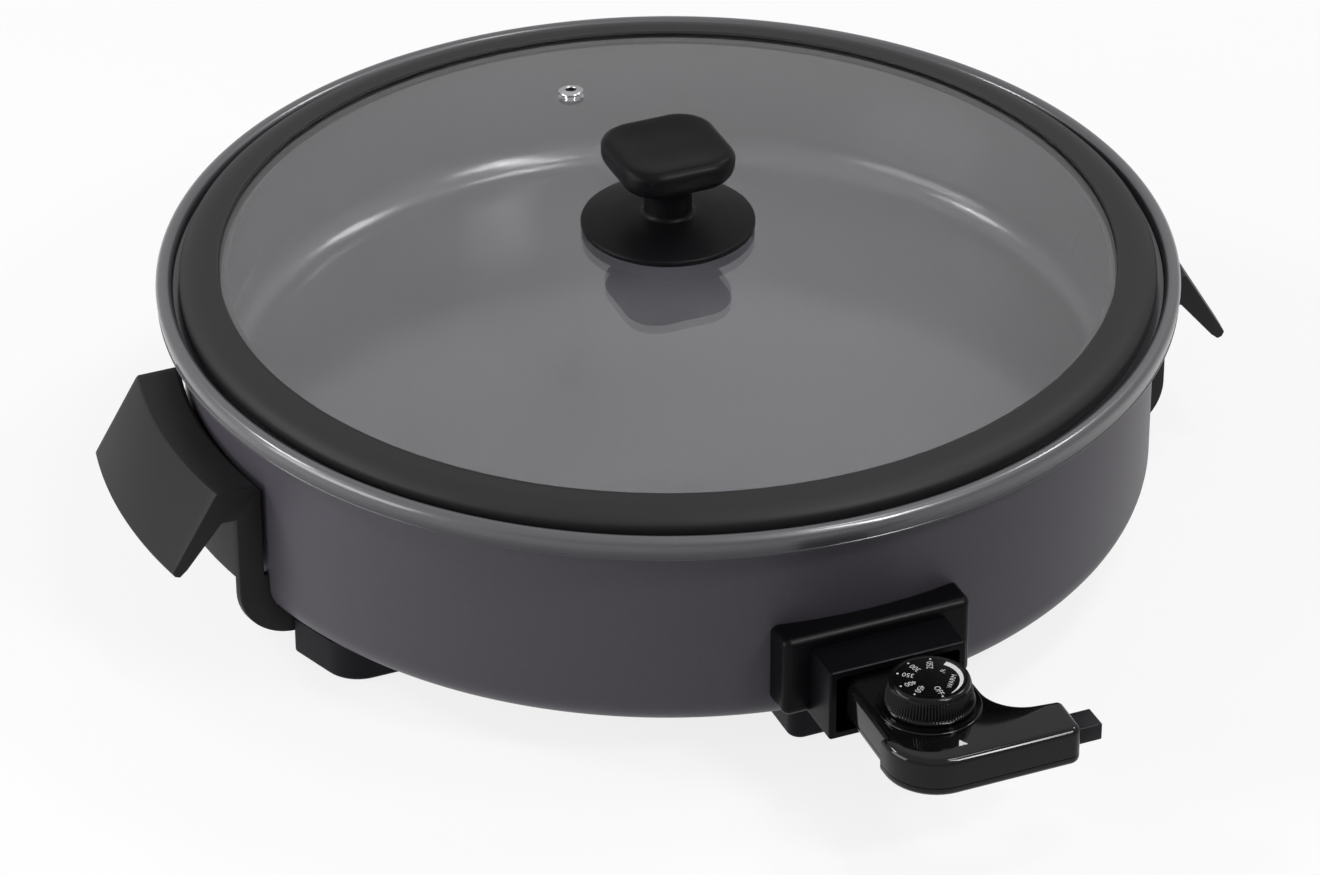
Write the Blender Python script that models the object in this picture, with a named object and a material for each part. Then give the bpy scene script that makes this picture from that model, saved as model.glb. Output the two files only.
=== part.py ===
"""Electric skillet with a lift-off glass lid and a plug-in dial control.

The model is in metres with +Z up. Every shape is drawn about the pan's upright axis,
with the table at z = 0, +X through a handle and -Y through the control.
Four empties carry the pieces: base, lid, control and dial.
"""

import math

import bmesh
import bpy
from mathutils import Euler, Matrix, Vector

# Body: radius and depth of its wall, which every other place follows, and the pan's sizes
SHELL_R = 0.1743
SHELL_DEPTH = 0.0841
FOOT_HEIGHT = 0.0149
RIM_PROUD = 0.0087
RIM_BAND = 0.0057
RIM_ROLL = 0.008
LEDGE_DROP = 0.0045
LEDGE_INSET = 0.015
UNDER_PAN = 0.0291
PAN_WALL = 0.0025
PAN_FLOOR_INSET = 0.0175
PAN_CORNER = 0.014
SHELL_SKIN = 0.0012
SHELL_CORNER = 0.0135
SEAT_GAP = 0.0003

# Lid: a shallow glass dome held by a flexible ring
RING_INSET = 0.0085
RING_WIDTH = 0.0143
RING_HEIGHT = 0.0034
RING_LIP = 0.0014
RING_CROWN_SHARE = 0.8
RING_SHOULDER_SHARE = 0.4
GLASS_INSET = 0.004
GLASS_SKIN = 0.004
GLASS_RISE = 0.0145
GLASS_HOLE_R = 0.0045
GLASS_ROW_SHARES = (0.35, 0.65, 0.85, 1)
VENT_X = 0.008
VENT_INSET = 0.059
VENT_BORE_R = 0.0019
VENT_TUBE_R = 0.003
VENT_LIP_R = 0.0047
VENT_LIP = 0.0007

# Knob on the lid
KNOB_DISC_R = 0.0312
KNOB_DISC_EDGE = 0.0025
KNOB_CONE = 0.0032
KNOB_NECK_R = 0.0086
KNOB_NECK_TOP_R = 0.0105
KNOB_CAP_WIDTH = 0.0424
KNOB_CAP_CORNER = 0.0125
KNOB_CAP_HEIGHT = 0.0126
KNOB_HEIGHT = 0.0331
KNOB_DISH = 0.0009
KNOB_FILLET_SHARE = 0.8
KNOB_UNDER_SHARES = ((0.42, 0), (0.13, 0.15), (0.03, 0.37))
KNOB_DISH_SHARES = ((0.45, 0.7), (0.8, 1))
LID_SCREW_R = 0.0022
LID_SCREW_HEAD_R = 0.0048
LID_SCREW_HEAD = 0.0022
LID_WASHER_R = 0.009
LID_WASHER = 0.0012
LID_GASKET_R = 0.0115
LID_GASKET = 0.0015

# Handles: swept round the pan and cut off square at both ends
HANDLE_HALF = 0.0425
HANDLE_CLEAR = 0.0017
HANDLE_LEG = 0.0089
HANDLE_TOP_DROP = 0.0275
HANDLE_TOP_REACH = 0.0163
HANDLE_PLATE = 0.0123
GRIP_REACH = 0.0162
GRIP_TIP_DROP = 0.0575
GRIP_TIP = 0.0052
GRIP_ROOT = 0.0054
ARM_WIDTH = 0.003
ARM_SOLE = 0.0067
ARM_REACH = 0.0263
ARM_SEAT_DEGREES = 65
PANEL_RISE = 0.0191
BOSS_Y = 0.026
BOSS_R = 0.0045
BOSS_DROP = 0.0445
HANDLE_SCREW_R = 0.0016
HANDLE_SCREW_HEAD_R = 0.0032
HANDLE_SCREW_HEAD = 0.0014
HANDLE_SCREW_SHARE = 0.75

# Feet under the rounded edge of the body
FOOT_INSET = 0.0068
FOOT_DEPTH = 0.036
FOOT_WIDTH = 0.028
FOOT_ROUND = 0.014
FRONT_FOOT_INSET = 0.0118
FRONT_FOOT_HALF = 0.0225
FRONT_FOOT_ROUND = 0.005

# Heater under the pan floor
HEATER_INSET = 0.0535
HEATER_TUBE_R = 0.0036
HEATER_BEND = 0.011
HEATER_END_INSET = 0.0143
PIN_SPACING = 0.024
PIN_R = 0.0024
PIN_SHORT = 0.003
BEAD_R = 0.0046
BEAD_LENGTH = 0.011
REFLECTOR_SPREAD = 0.023
REFLECTOR_SKIN = 0.0008
REFLECTOR_LIP = 0.004
PILLAR_COUNT = 3
PILLAR_R = 0.004
PILLAR_INSET = 0.010

# Socket that takes the control
FLANGE_HALF = 0.0348
FLANGE_RISE = 0.0196
FLANGE_HEIGHT = 0.031
FLANGE_PROUD = 0.0087
FLANGE_ROUND = 0.003
BOX_HALF = 0.0253
BOX_RISE = 0.0147
BOX_HEIGHT = 0.0272
BOX_PROUD = 0.016
BOX_WALL = 0.0025
BOX_FLOOR_DEPTH = 0.0225
BRACKET_HALF = 0.032
BRACKET_HEIGHT = 0.018
BRACKET_SKIN = 0.0012
SOCKET_SCREW_X = 0.0295
SOCKET_SCREW_R = 0.0014
SOCKET_SCREW_HEAD_R = 0.0026
SOCKET_SCREW_HEAD = 0.0016
GUIDE_WALL = 0.0009
GUIDE_LENGTH = 0.024

# Plug-in control
PROBE_R = 0.0028
PROBE_LENGTH = 0.099
RUN_GAP = 0.0003
CASE_INSERT = 0.013
CASE_RISE = 0.0109
CASE_HEIGHT = 0.0145
CASE_WALL = 0.0020
CASE_ROUND = 0.0025
CASE_NECK_HALF = 0.0200
CASE_SHOULDER_HALF = 0.0175
CASE_LEFT = 0.0225
CASE_LENGTH = 0.0565
CASE_RIGHT = 0.0418
CASE_ARM_DEPTH = 0.0185
CASE_CORNER = 0.0185
CASE_SWEEP = 0.0145
CASE_NECK_SHARE = 0.7
CASE_END_SHARE = 1.6
NOSE_DROP = 0.0032
POST_WALL = 0.0015
POST_SHARE = 0.5
COLLAR_R = 0.0178
COLLAR_HEIGHT = 0.0016
SLEEVE_WALL = 0.0008
SLEEVE_LENGTH = 0.012
GLAND_LENGTH = 0.0095
GLAND_DROP = 0.0073
GLAND_WIDTH = 0.0098
GLAND_HEIGHT = 0.0064
GLAND_BORE_R = 0.0024
GLAND_COLLAR = 0.0012
CASE_SCREW_R = 0.0013
CASE_SCREW_HEAD_R = 0.0024
CASE_SCREW_HEAD = 0.0012
FRAME_PLATE = 0.001
FRAME_HALF = 0.011
FRAME_REAR = 0.0145
FRAME_FORE = 0.0125
LEAF_SKIN = 0.0005
LEAF_HALF = 0.0032

# Dial on top of the control
DIAL_INSET = 0.032
DIAL_TOP_R = 0.0132
DIAL_SKIRT_R = 0.0155
DIAL_RIBS = 40
DIAL_RIB = 0.0004
DIAL_EDGE_SHARE = 1.5
DIAL_HEIGHT = 0.0094
DIAL_SKIRT = 0.0068
DIAL_GAP = 0.0004
SHAFT_R = 0.0028
SHAFT_DROP = 0.0062

# A pan-head screw's crown, as shares of the head's radius and height
CROWN_R_SHARE = 0.6
CROWN_SHARE = 0.45

# Fineness of the round shapes
BIG_STEPS = 48
KNOB_STEPS = 20
SMALL_STEPS = 12
SCREW_STEPS = 8
ARC_STEPS = 3
EDGE_STEPS = 4
CUT_OVER = 0.004

# Radii and places along the control that follow from the body wall's radius
RIM_R = SHELL_R + RIM_PROUD
LEDGE_R = RIM_R - LEDGE_INSET
PAN_FLOOR_R = RIM_R - PAN_FLOOR_INSET
RING_R = RIM_R - RING_INSET
RING_EYE_R = RING_R - RING_WIDTH
GLASS_EDGE_R = RING_R - GLASS_INSET
VENT_Y = GLASS_EDGE_R - VENT_INSET
HANDLE_IN_R = SHELL_R + HANDLE_CLEAR
HANDLE_TOP_R = HANDLE_IN_R + HANDLE_TOP_REACH
GRIP_TIP_R = HANDLE_TOP_R + GRIP_REACH
ARM_REACH_R = SHELL_R - ARM_REACH
FOOT_R = SHELL_R - FOOT_INSET
FRONT_FOOT_R = SHELL_R - FRONT_FOOT_INSET
HEATER_R = PAN_FLOOR_R - HEATER_INSET
HEATER_END = SHELL_R - HEATER_END_INSET
REFLECTOR_R = HEATER_R + REFLECTOR_SPREAD
PILLAR_CIRCLE_R = REFLECTOR_R - PILLAR_INSET
FLANGE_FRONT = SHELL_R + FLANGE_PROUD
BOX_FRONT = FLANGE_FRONT + BOX_PROUD
PIN_TIP = BOX_FRONT - PIN_SHORT
PROBE_TIP = BOX_FRONT - PROBE_LENGTH
CASE_BACK = BOX_FRONT - CASE_INSERT
CASE_FRONT = BOX_FRONT + CASE_LENGTH
CASE_ARM_BACK = CASE_FRONT - CASE_ARM_DEPTH
DIAL_Y = CASE_FRONT - DIAL_INSET
FRAME_BACK = DIAL_Y - FRAME_REAR
FRAME_FRONT = DIAL_Y + FRAME_FORE

# Heights that follow from the sizes above
SHELL_BOTTOM = FOOT_HEIGHT
RIM_TOP = SHELL_BOTTOM + SHELL_DEPTH
PAN_FLOOR = SHELL_BOTTOM + UNDER_PAN
PAN_UNDER = PAN_FLOOR - PAN_WALL
LEDGE_Z = RIM_TOP - LEDGE_DROP
HEATER_Z = PAN_UNDER - SEAT_GAP - HEATER_TUBE_R
PROBE_Z = HEATER_Z
FLANGE_TOP = PROBE_Z + FLANGE_RISE
BOX_TOP = PROBE_Z + BOX_RISE
CASE_TOP = PROBE_Z + CASE_RISE
GLASS_TOP = RIM_TOP + GLASS_RISE
GLASS_UNDER = GLASS_TOP - GLASS_SKIN
KNOB_TOP = GLASS_TOP + KNOB_HEIGHT
BOX_FLOOR_Y = BOX_FRONT - BOX_FLOOR_DEPTH
CASE_BOTTOM = CASE_TOP - CASE_HEIGHT
BOSS_Z = RIM_TOP - BOSS_DROP
DIAL_BOTTOM = CASE_TOP + COLLAR_HEIGHT + DIAL_GAP
DOME_R = (RING_EYE_R ** 2 + (GLASS_RISE - RING_HEIGHT) ** 2) / (2 * (GLASS_RISE - RING_HEIGHT))
PAN_Y = (CASE_FRONT - RIM_R) / 2
PIN_X = PIN_SPACING / 2

# Where each body's empty stands, from the pan's axis
PIVOTS = {
    "base": Vector((0, 0, 0)),
    "lid": Vector((0, 0, LEDGE_Z)),
    "control": Vector((0, -CASE_BACK, PROBE_Z)),
    "dial": Vector((0, -DIAL_Y, DIAL_BOTTOM)),
}

# Colour, roughness and metallic of each finish
FINISHES = {
    "body_paint": ((0.092, 0.083, 0.096), 0.42, 0.35),
    "pan_coat": ((0.155, 0.162, 0.168), 0.32, 0.0),
    "handle_plastic": ((0.030, 0.030, 0.032), 0.55, 0.0),
    "socket_plastic": ((0.012, 0.012, 0.013), 0.42, 0.0),
    "control_plastic": ((0.008, 0.008, 0.009), 0.10, 0.0),
    "dial_plastic": ((0.010, 0.010, 0.011), 0.20, 0.0),
    "knob_plastic": ((0.022, 0.022, 0.024), 0.50, 0.0),
    "ring_rubber": ((0.035, 0.035, 0.037), 0.60, 0.0),
    "glass": ((0.80, 0.86, 0.84), 0.02, 0.0),
    "bright_steel": ((0.62, 0.61, 0.59), 0.25, 1.0),
    "zinc_steel": ((0.52, 0.53, 0.55), 0.38, 1.0),
    "heater_steel": ((0.26, 0.25, 0.24), 0.45, 1.0),
    "ceramic": ((0.78, 0.75, 0.68), 0.50, 0.0),
    "brass": ((0.62, 0.45, 0.18), 0.30, 1.0),
}


def clear_scene():
    """Remove whatever the file holds before the model is made."""
    for found in list(bpy.data.objects):
        bpy.data.objects.remove(found, do_unlink=True)


def make_bodies():
    """Make one empty for each body and hang the moving ones on what carries them."""
    frames = {}
    for name, pivot in PIVOTS.items():
        frame = bpy.data.objects.new(name + "_frame", None)
        frame.empty_display_size = RIM_BAND
        bpy.context.scene.collection.objects.link(frame)
        frames[name] = frame
    frames["base"].location = (0, PAN_Y, 0)
    for name, carrier in (("lid", "base"), ("control", "base"), ("dial", "control")):
        frames[name].parent = frames[carrier]
        frames[name].location = PIVOTS[name] - PIVOTS[carrier]
    return frames


def make_finishes():
    """Make one Principled material for each finish."""
    made = {}
    for name, (colour, roughness, metallic) in FINISHES.items():
        material = bpy.data.materials.new(name)
        material.use_nodes = True
        shader = material.node_tree.nodes["Principled BSDF"]
        shader.inputs["Base Color"].default_value = (*colour, 1)
        shader.inputs["Roughness"].default_value = roughness
        shader.inputs["Metallic"].default_value = metallic
        if name == "glass":
            shader.inputs["Transmission Weight"].default_value = 1
        made[name] = material
    return made


def polar(radius, angle):
    """Return the point of a circle about the pan's axis, as x and y."""
    return radius * math.cos(angle), radius * math.sin(angle)


def arc(centre, radius, start, end, steps=ARC_STEPS):
    """Return the points of an arc, both ends included, with angles in degrees."""
    points = []
    for step in range(steps + 1):
        angle = math.radians(start + (end - start) * step / steps)
        points.append((centre[0] + radius * math.cos(angle), centre[1] + radius * math.sin(angle)))
    return points


def rounded_outline(corners, steps=ARC_STEPS):
    """Turn corners given as (x, y, radius) into one outline with arcs at the corners."""
    outline = []
    count = len(corners)
    for place in range(count):
        here = Vector(corners[place][:2])
        radius = corners[place][2]
        if radius == 0:
            outline.append(tuple(here))
            continue
        back = (Vector(corners[place - 1][:2]) - here).normalized()
        ahead = (Vector(corners[(place + 1) % count][:2]) - here).normalized()
        half = back.angle(ahead) / 2
        middle = here + (back + ahead).normalized() * radius / math.sin(half)
        first = here + back * radius / math.tan(half) - middle
        last = here + ahead * radius / math.tan(half) - middle
        turn = math.atan2(first.x * last.y - first.y * last.x, first.dot(last))
        for step in range(steps + 1):
            angle = turn * step / steps
            outline.append((
                middle.x + first.x * math.cos(angle) - first.y * math.sin(angle),
                middle.y + first.x * math.sin(angle) + first.y * math.cos(angle),
            ))
    return outline


def shifted(corners, distance):
    """Move the sides of a counter-clockwise shape outward, and fit its corner radii to them."""
    moved = []
    count = len(corners)
    for place in range(count):
        here = Vector(corners[place][:2])
        before = (here - Vector(corners[place - 1][:2])).normalized()
        after = (Vector(corners[(place + 1) % count][:2]) - here).normalized()
        normals = Vector((before.y + after.y, -before.x - after.x))
        push = normals * distance / (1 + before.dot(after))
        turn = before.x * after.y - before.y * after.x
        radius = corners[place][2]
        if radius:
            radius = max(radius + distance * math.copysign(1, turn), SEAT_GAP)
        moved.append((here.x + push.x, here.y + push.y, radius))
    return moved


def mesh_from(bm, name):
    """Close a bmesh into a mesh whose faces point out."""
    bmesh.ops.recalc_face_normals(bm, faces=bm.faces)
    mesh = bpy.data.meshes.new(name)
    bm.to_mesh(mesh)
    bm.free()
    return mesh


def turned_mesh(name, profile, steps):
    """Spin a profile of (radius, height) points about Z; one that starts on the axis ends there."""
    bm = bmesh.new()
    points = [bm.verts.new((radius, 0, height)) for radius, height in profile]
    edges = [bm.edges.new(pair) for pair in zip(points, points[1:])]
    if profile[0][0] > 0:
        edges.append(bm.edges.new((points[-1], points[0])))
    bmesh.ops.spin(bm, geom=points + edges, cent=(0, 0, 0), axis=(0, 0, 1),
                   angle=2 * math.pi, steps=steps, use_merge=True)
    bmesh.ops.remove_doubles(bm, verts=bm.verts, dist=SEAT_GAP / 100)
    return mesh_from(bm, name)


def lofted_mesh(name, rings):
    """Skin rings of equal count one after another and cap both ends."""
    bm = bmesh.new()
    loops = [[bm.verts.new(point) for point in ring] for ring in rings]
    count = len(loops[0])
    for lower, upper in zip(loops, loops[1:]):
        for place in range(count):
            after = (place + 1) % count
            bm.faces.new((lower[place], lower[after], upper[after], upper[place]))
    bm.faces.new(loops[0][::-1])
    bm.faces.new(loops[-1])
    return mesh_from(bm, name)


def plate_mesh(name, corners, layers, steps=ARC_STEPS):
    """Stack a shape at (inset, height) layers, for plates with rounded or sloping edges."""
    rings = []
    for inset, height in layers:
        ring = rounded_outline(shifted(corners, -inset), steps)
        rings.append([(x, y, height) for x, y in ring])
    return lofted_mesh(name, rings)


def rounded_layers(low, high, radius, low_radius=0, steps=ARC_STEPS):
    """Return the layers of a plate whose upper, and if asked lower, edge is rounded."""
    layers = []
    if low_radius:
        for step in range(steps + 1):
            angle = math.pi / 2 * step / steps
            layers.append((low_radius * (1 - math.sin(angle)), low + low_radius * (1 - math.cos(angle))))
    else:
        layers.append((0, low))
    for step in range(steps + 1):
        angle = math.pi / 2 * step / steps
        layers.append((radius * (1 - math.cos(angle)), high - radius * (1 - math.sin(angle))))
    return layers


def gathered(name, shapes):
    """Gather (mesh, place, turn) shapes that stand apart into one mesh, for one cut."""
    bm = bmesh.new()
    for mesh, at, turn in shapes:
        mesh.transform(Matrix.Translation(at) @ Euler(turn).to_matrix().to_4x4())
        bm.from_mesh(mesh)
    return mesh_from(bm, name)


def holes_along(places, profile_of, height, turn):
    """Gather turned cutters, one for each (x, size) place, with one height and turn."""
    return [(turned_mesh("hole", profile_of(size), SMALL_STEPS), (x, 0, height), turn) for x, size in places]


def rod_profile(radius, low, high):
    """Return the profile of a plain rod between two heights."""
    return [(0, low), (radius, low), (radius, high), (0, high)]


def tube_profile(inner, outer, low, high):
    """Return the profile of a plain tube between two heights."""
    return [(inner, low), (outer, low), (outer, high), (inner, high)]


def screw_profile(radius, head_radius, head, length):
    """Return a pan-head screw's profile, head below zero and shank above."""
    return [
        (0, -head), (head_radius * CROWN_R_SHARE, -head), (head_radius, -head * CROWN_SHARE),
        (head_radius, 0), (radius, 0), (radius, length), (0, length),
    ]


class Bench:
    """Holds the bodies and finishes, and places finished pieces on them."""

    def __init__(self):
        self.frames = make_bodies()
        self.finishes = make_finishes()

    def place(self, mesh, name, body, finish, at=(0, 0, 0), turn=(0, 0, 0), sharp=35):
        """Put a mesh on a body as a named piece with its finish."""
        piece = bpy.data.objects.new(name, mesh)
        bpy.context.scene.collection.objects.link(piece)
        piece.parent = self.frames[body]
        piece.location = Vector(at) - PIVOTS[body]
        piece.rotation_euler = turn
        mesh.shade_smooth()
        mesh.set_sharp_from_angle(angle=math.radians(sharp))
        mesh.materials.clear()
        mesh.materials.append(self.finishes[finish])
        return piece

    def cutter(self, mesh, piece, body, at=(0, 0, 0), turn=(0, 0, 0), operation="DIFFERENCE"):
        """Cut, or with UNION join, a hidden helper shape into a piece."""
        tool = bpy.data.objects.new(piece.name + "_cutter", mesh)
        bpy.context.scene.collection.objects.link(tool)
        tool.parent = self.frames[body]
        tool.location = Vector(at) - PIVOTS[body]
        tool.rotation_euler = turn
        tool.display_type = "WIRE"
        tool.hide_render = True
        change = piece.modifiers.new(operation.lower(), "BOOLEAN")
        change.operation = operation
        change.solver = "EXACT"
        change.object = tool


TOWARD_CONTROL = (math.pi / 2, 0, 0)
LEVEL = (0, 0, 0)


def outward(side):
    """Return the rotation that turns local +Z to the left (-1) or to the right (1)."""
    return 0, side * math.pi / 2, 0


def wall_x():
    """Return how far from the middle the wall's inner face stands at the handle's screws."""
    facet_r = (SHELL_R - SHELL_SKIN) * math.cos(math.pi / BIG_STEPS)
    return math.sqrt(facet_r ** 2 - (BOSS_Y + HANDLE_SCREW_HEAD_R) ** 2)


def outer_shell(bench):
    """Painted body: upright wall, rounded lower edge and a flat bottom, open at the top."""
    top = LEDGE_Z - PAN_WALL - SEAT_GAP
    inner_r = SHELL_R - SHELL_SKIN
    corner_r = SHELL_R - SHELL_CORNER
    outside = [(0, SHELL_BOTTOM)]
    outside += arc((corner_r, SHELL_BOTTOM + SHELL_CORNER), SHELL_CORNER, -90, 0)
    outside.append((SHELL_R, top))
    inside = [(inner_r, top)]
    inside += arc((corner_r, SHELL_BOTTOM + SHELL_CORNER), SHELL_CORNER - SHELL_SKIN, 0, -90)
    inside.append((0, SHELL_BOTTOM + SHELL_SKIN))
    mesh = turned_mesh("outer_shell", outside + inside, BIG_STEPS)
    shell = bench.place(mesh, "outer_shell", "base", "body_paint")
    half = BOX_HALF - 2 * BOX_WALL
    low = PROBE_Z - BEAD_R - BOX_WALL
    high = PROBE_Z + BEAD_R + BOX_WALL
    window = box_corners(half, low, high, BOX_WALL)
    mesh = plate_mesh("window", window, [(0, -CUT_OVER), (0, SHELL_CORNER)], steps=2)
    cuts = [(mesh, (0, -SHELL_R + SHELL_CORNER - CUT_OVER, 0), TOWARD_CONTROL)]
    for side in (-1, 1):
        hole = rod_profile(SOCKET_SCREW_R + SEAT_GAP, -SHELL_CORNER, SHELL_CORNER)
        mesh = turned_mesh("hole", hole, SCREW_STEPS)
        cuts.append((mesh, (side * SOCKET_SCREW_X, -SHELL_R, PROBE_Z), TOWARD_CONTROL))
    for side, y in handle_screw_places():
        hole = rod_profile(HANDLE_SCREW_R + SEAT_GAP, wall_x() - CUT_OVER, SHELL_R + CUT_OVER)
        mesh = turned_mesh("hole", hole, SCREW_STEPS)
        cuts.append((mesh, (0, y, BOSS_Z), outward(side)))
    bench.cutter(gathered("shell_holes", cuts), shell, "base")


def inner_pan(bench):
    """Coated cooking pan: rolled rim, ledge for the lid, sloping wall and filleted floor."""
    roll = RIM_BAND / 2
    crown = RIM_R - roll
    wall_top_r = LEDGE_R + PAN_WALL
    inner = [(0, PAN_FLOOR)]
    inner += arc((PAN_FLOOR_R - PAN_CORNER, PAN_FLOOR + PAN_CORNER), PAN_CORNER, -90, 0)
    inner += [(LEDGE_R, LEDGE_Z), (RIM_R - RIM_BAND, LEDGE_Z)]
    rim = arc((crown, RIM_TOP - roll), roll, 180, 0)
    skirt_r = RIM_R - PAN_WALL / 2
    rim += [(RIM_R, RIM_TOP - RIM_ROLL), (skirt_r, RIM_TOP - RIM_ROLL)]
    rim += [(skirt_r, LEDGE_Z - PAN_WALL), (wall_top_r, LEDGE_Z - PAN_WALL)]
    outer = arc((PAN_FLOOR_R - PAN_CORNER, PAN_FLOOR + PAN_CORNER), PAN_CORNER + PAN_WALL, 0, -90)
    outer.append((0, PAN_UNDER))
    bench.place(turned_mesh("inner_pan", inner + rim + outer, BIG_STEPS), "inner_pan", "base", "pan_coat")


def heater_path():
    """Return the heater's centre line: a ring open at the control, with two ends led out."""
    corner_x = PIN_X + HEATER_BEND
    bend_y = -math.sqrt(HEATER_R ** 2 - corner_x ** 2) - HEATER_BEND
    start = math.degrees(math.atan2(bend_y + HEATER_BEND, corner_x))
    right = [(PIN_X, -HEATER_END)]
    right += arc((corner_x, bend_y), HEATER_BEND, 180, 90 + (start + 90) / 2, ARC_STEPS)
    ring = arc((0, 0), HEATER_R, start, 180 - start, KNOB_STEPS + SMALL_STEPS)
    left = [(-x, y) for x, y in reversed(right)]
    return right + ring[1:-1] + left


def heater(bench):
    """Tubular heater with its pins, and the ceramic beads that carry them through the wall."""
    curve = bpy.data.curves.new("heating_element", "CURVE")
    curve.dimensions = "3D"
    curve.bevel_depth = HEATER_TUBE_R
    curve.bevel_resolution = 2
    curve.use_fill_caps = True
    path = heater_path()
    line = curve.splines.new("POLY")
    line.points.add(len(path) - 1)
    for point, (x, y) in zip(line.points, path):
        point.co = (x, y, HEATER_Z, 1)
    element = bpy.data.objects.new("heating_element", curve)
    bpy.context.scene.collection.objects.link(element)
    element.parent = bench.frames["base"]
    curve.materials.append(bench.finishes["heater_steel"])
    for side, word in ((-1, "left"), (1, "right")):
        start = HEATER_END + SEAT_GAP
        nose = PIN_R / 2
        length = PIN_TIP - start
        pin = [(0, 0), (PIN_R, 0), (PIN_R, length - nose), (PIN_R - nose, length), (0, length)]
        bench.place(turned_mesh("pin", pin, SMALL_STEPS), "terminal_pin_" + word, "base", "zinc_steel",
                    at=(side * PIN_X, -start, PROBE_Z), turn=TOWARD_CONTROL)
        bead = tube_profile(PIN_R + SEAT_GAP, BEAD_R, 0, BEAD_LENGTH)
        bench.place(turned_mesh("bead", bead, SMALL_STEPS), "terminal_bead_" + word, "base", "ceramic",
                    at=(side * PIN_X, BEAD_LENGTH + SHELL_SKIN - SHELL_R, PROBE_Z), turn=TOWARD_CONTROL)


def reflector(bench):
    """Heat reflector: a thin dish on short pillars between the heater and the bottom."""
    low = SHELL_BOTTOM + SHELL_SKIN
    plate = HEATER_Z - HEATER_TUBE_R - SEAT_GAP - REFLECTOR_LIP
    dish = [(0, plate - REFLECTOR_SKIN), (REFLECTOR_R, plate - REFLECTOR_SKIN),
            (REFLECTOR_R + REFLECTOR_LIP / 2, plate + REFLECTOR_LIP),
            (REFLECTOR_R + REFLECTOR_LIP / 2 - REFLECTOR_SKIN, plate + REFLECTOR_LIP),
            (REFLECTOR_R - REFLECTOR_SKIN, plate), (0, plate)]
    bench.place(turned_mesh("reflector", dish, BIG_STEPS // 2), "heat_reflector", "base", "zinc_steel")
    top = plate - REFLECTOR_SKIN - SEAT_GAP
    for number in range(PILLAR_COUNT):
        x, y = polar(PILLAR_CIRCLE_R, math.radians(90) + 2 * math.pi * number / PILLAR_COUNT)
        pillar = tube_profile(PILLAR_R / 2, PILLAR_R, low + SEAT_GAP, top)
        bench.place(turned_mesh("pillar", pillar, SCREW_STEPS), "reflector_pillar_%d" % (number + 1), "base",
                    "zinc_steel", at=(x, y, 0))


def handle_section():
    """Return grip, top plate and wall panel as (radius, height); the last two points are its foot."""
    top = RIM_TOP - HANDLE_TOP_DROP
    plate = top - HANDLE_PLATE
    tip_z = RIM_TOP - GRIP_TIP_DROP
    leg_r = HANDLE_IN_R + HANDLE_LEG
    edge = GRIP_TIP / 3
    low = SHELL_BOTTOM + PANEL_RISE
    return [
        (HANDLE_IN_R, top - edge), (HANDLE_IN_R + edge, top), (HANDLE_TOP_R - edge / 2, top),
        (HANDLE_TOP_R, top - edge / 2), (GRIP_TIP_R, tip_z + edge), (GRIP_TIP_R - edge / 2, tip_z),
        (GRIP_TIP_R - GRIP_TIP / 2, tip_z - edge / 3), (GRIP_TIP_R - GRIP_TIP, tip_z + edge),
        (leg_r + GRIP_ROOT, plate), (leg_r, plate), (leg_r, low), (HANDLE_IN_R, low),
    ]


def hook_section():
    """Return the line of an end wall round under the body and back, as (radius, height) points."""
    sole = SHELL_BOTTOM - SEAT_GAP - ARM_SOLE
    bend = SHELL_CORNER + ARM_SOLE - SEAT_GAP
    points = arc((HANDLE_IN_R + HANDLE_LEG - bend, sole + bend), bend, 0, -90, 2 * ARC_STEPS)
    points += [(ARM_REACH_R, sole), (ARM_REACH_R, SHELL_BOTTOM - SEAT_GAP)]
    points += arc((SHELL_R - SHELL_CORNER, SHELL_BOTTOM + SHELL_CORNER), SHELL_CORNER + SEAT_GAP, -90,
                  ARM_SEAT_DEGREES - 90, 2 * ARC_STEPS)
    points.append((HANDLE_IN_R, SHELL_BOTTOM + SHELL_CORNER))
    return points


def handle_mesh(side):
    """Skin one handle: its section, and a thin wall at each end that hooks under the body."""
    bm = bmesh.new()
    section = handle_section()
    hook = hook_section()
    inside = HANDLE_HALF - ARM_WIDTH
    stations = [-HANDLE_HALF, -inside, -inside / 2, 0, inside / 2, inside, HANDLE_HALF]
    count = len(section)

    def row(points, y):
        across = [(side * math.sqrt(radius ** 2 - y ** 2), height) for radius, height in points]
        return [bm.verts.new((x, y, height)) for x, height in across]

    loops = [row(section, y) for y in stations]
    last = len(stations) - 2
    for number in range(last + 1):
        here, there = loops[number:number + 2]
        for place in range(count):
            if place == count - 2 and number in (0, last):
                continue
            after = (place + 1) % count
            bm.faces.new((here[place], here[after], there[after], there[place]))
    for number in (0, last):
        rows = []
        for loop, y in zip(loops[number:number + 2], stations[number:number + 2]):
            rows.append([loop[-2]] + row(hook, y) + [loop[-1]])
        for place in range(len(hook) + 1):
            bm.faces.new((rows[0][place], rows[0][place + 1], rows[1][place + 1], rows[1][place]))
        for hook_row in rows:
            bm.faces.new(hook_row)
    bm.faces.new(loops[0])
    bm.faces.new(loops[-1])
    return mesh_from(bm, "handle")


def handle_screw_places():
    """Return side and y of the four screws that hold the handles from inside the wall."""
    return [(side, end * BOSS_Y) for side in (-1, 1) for end in (-1, 1)]


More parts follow.
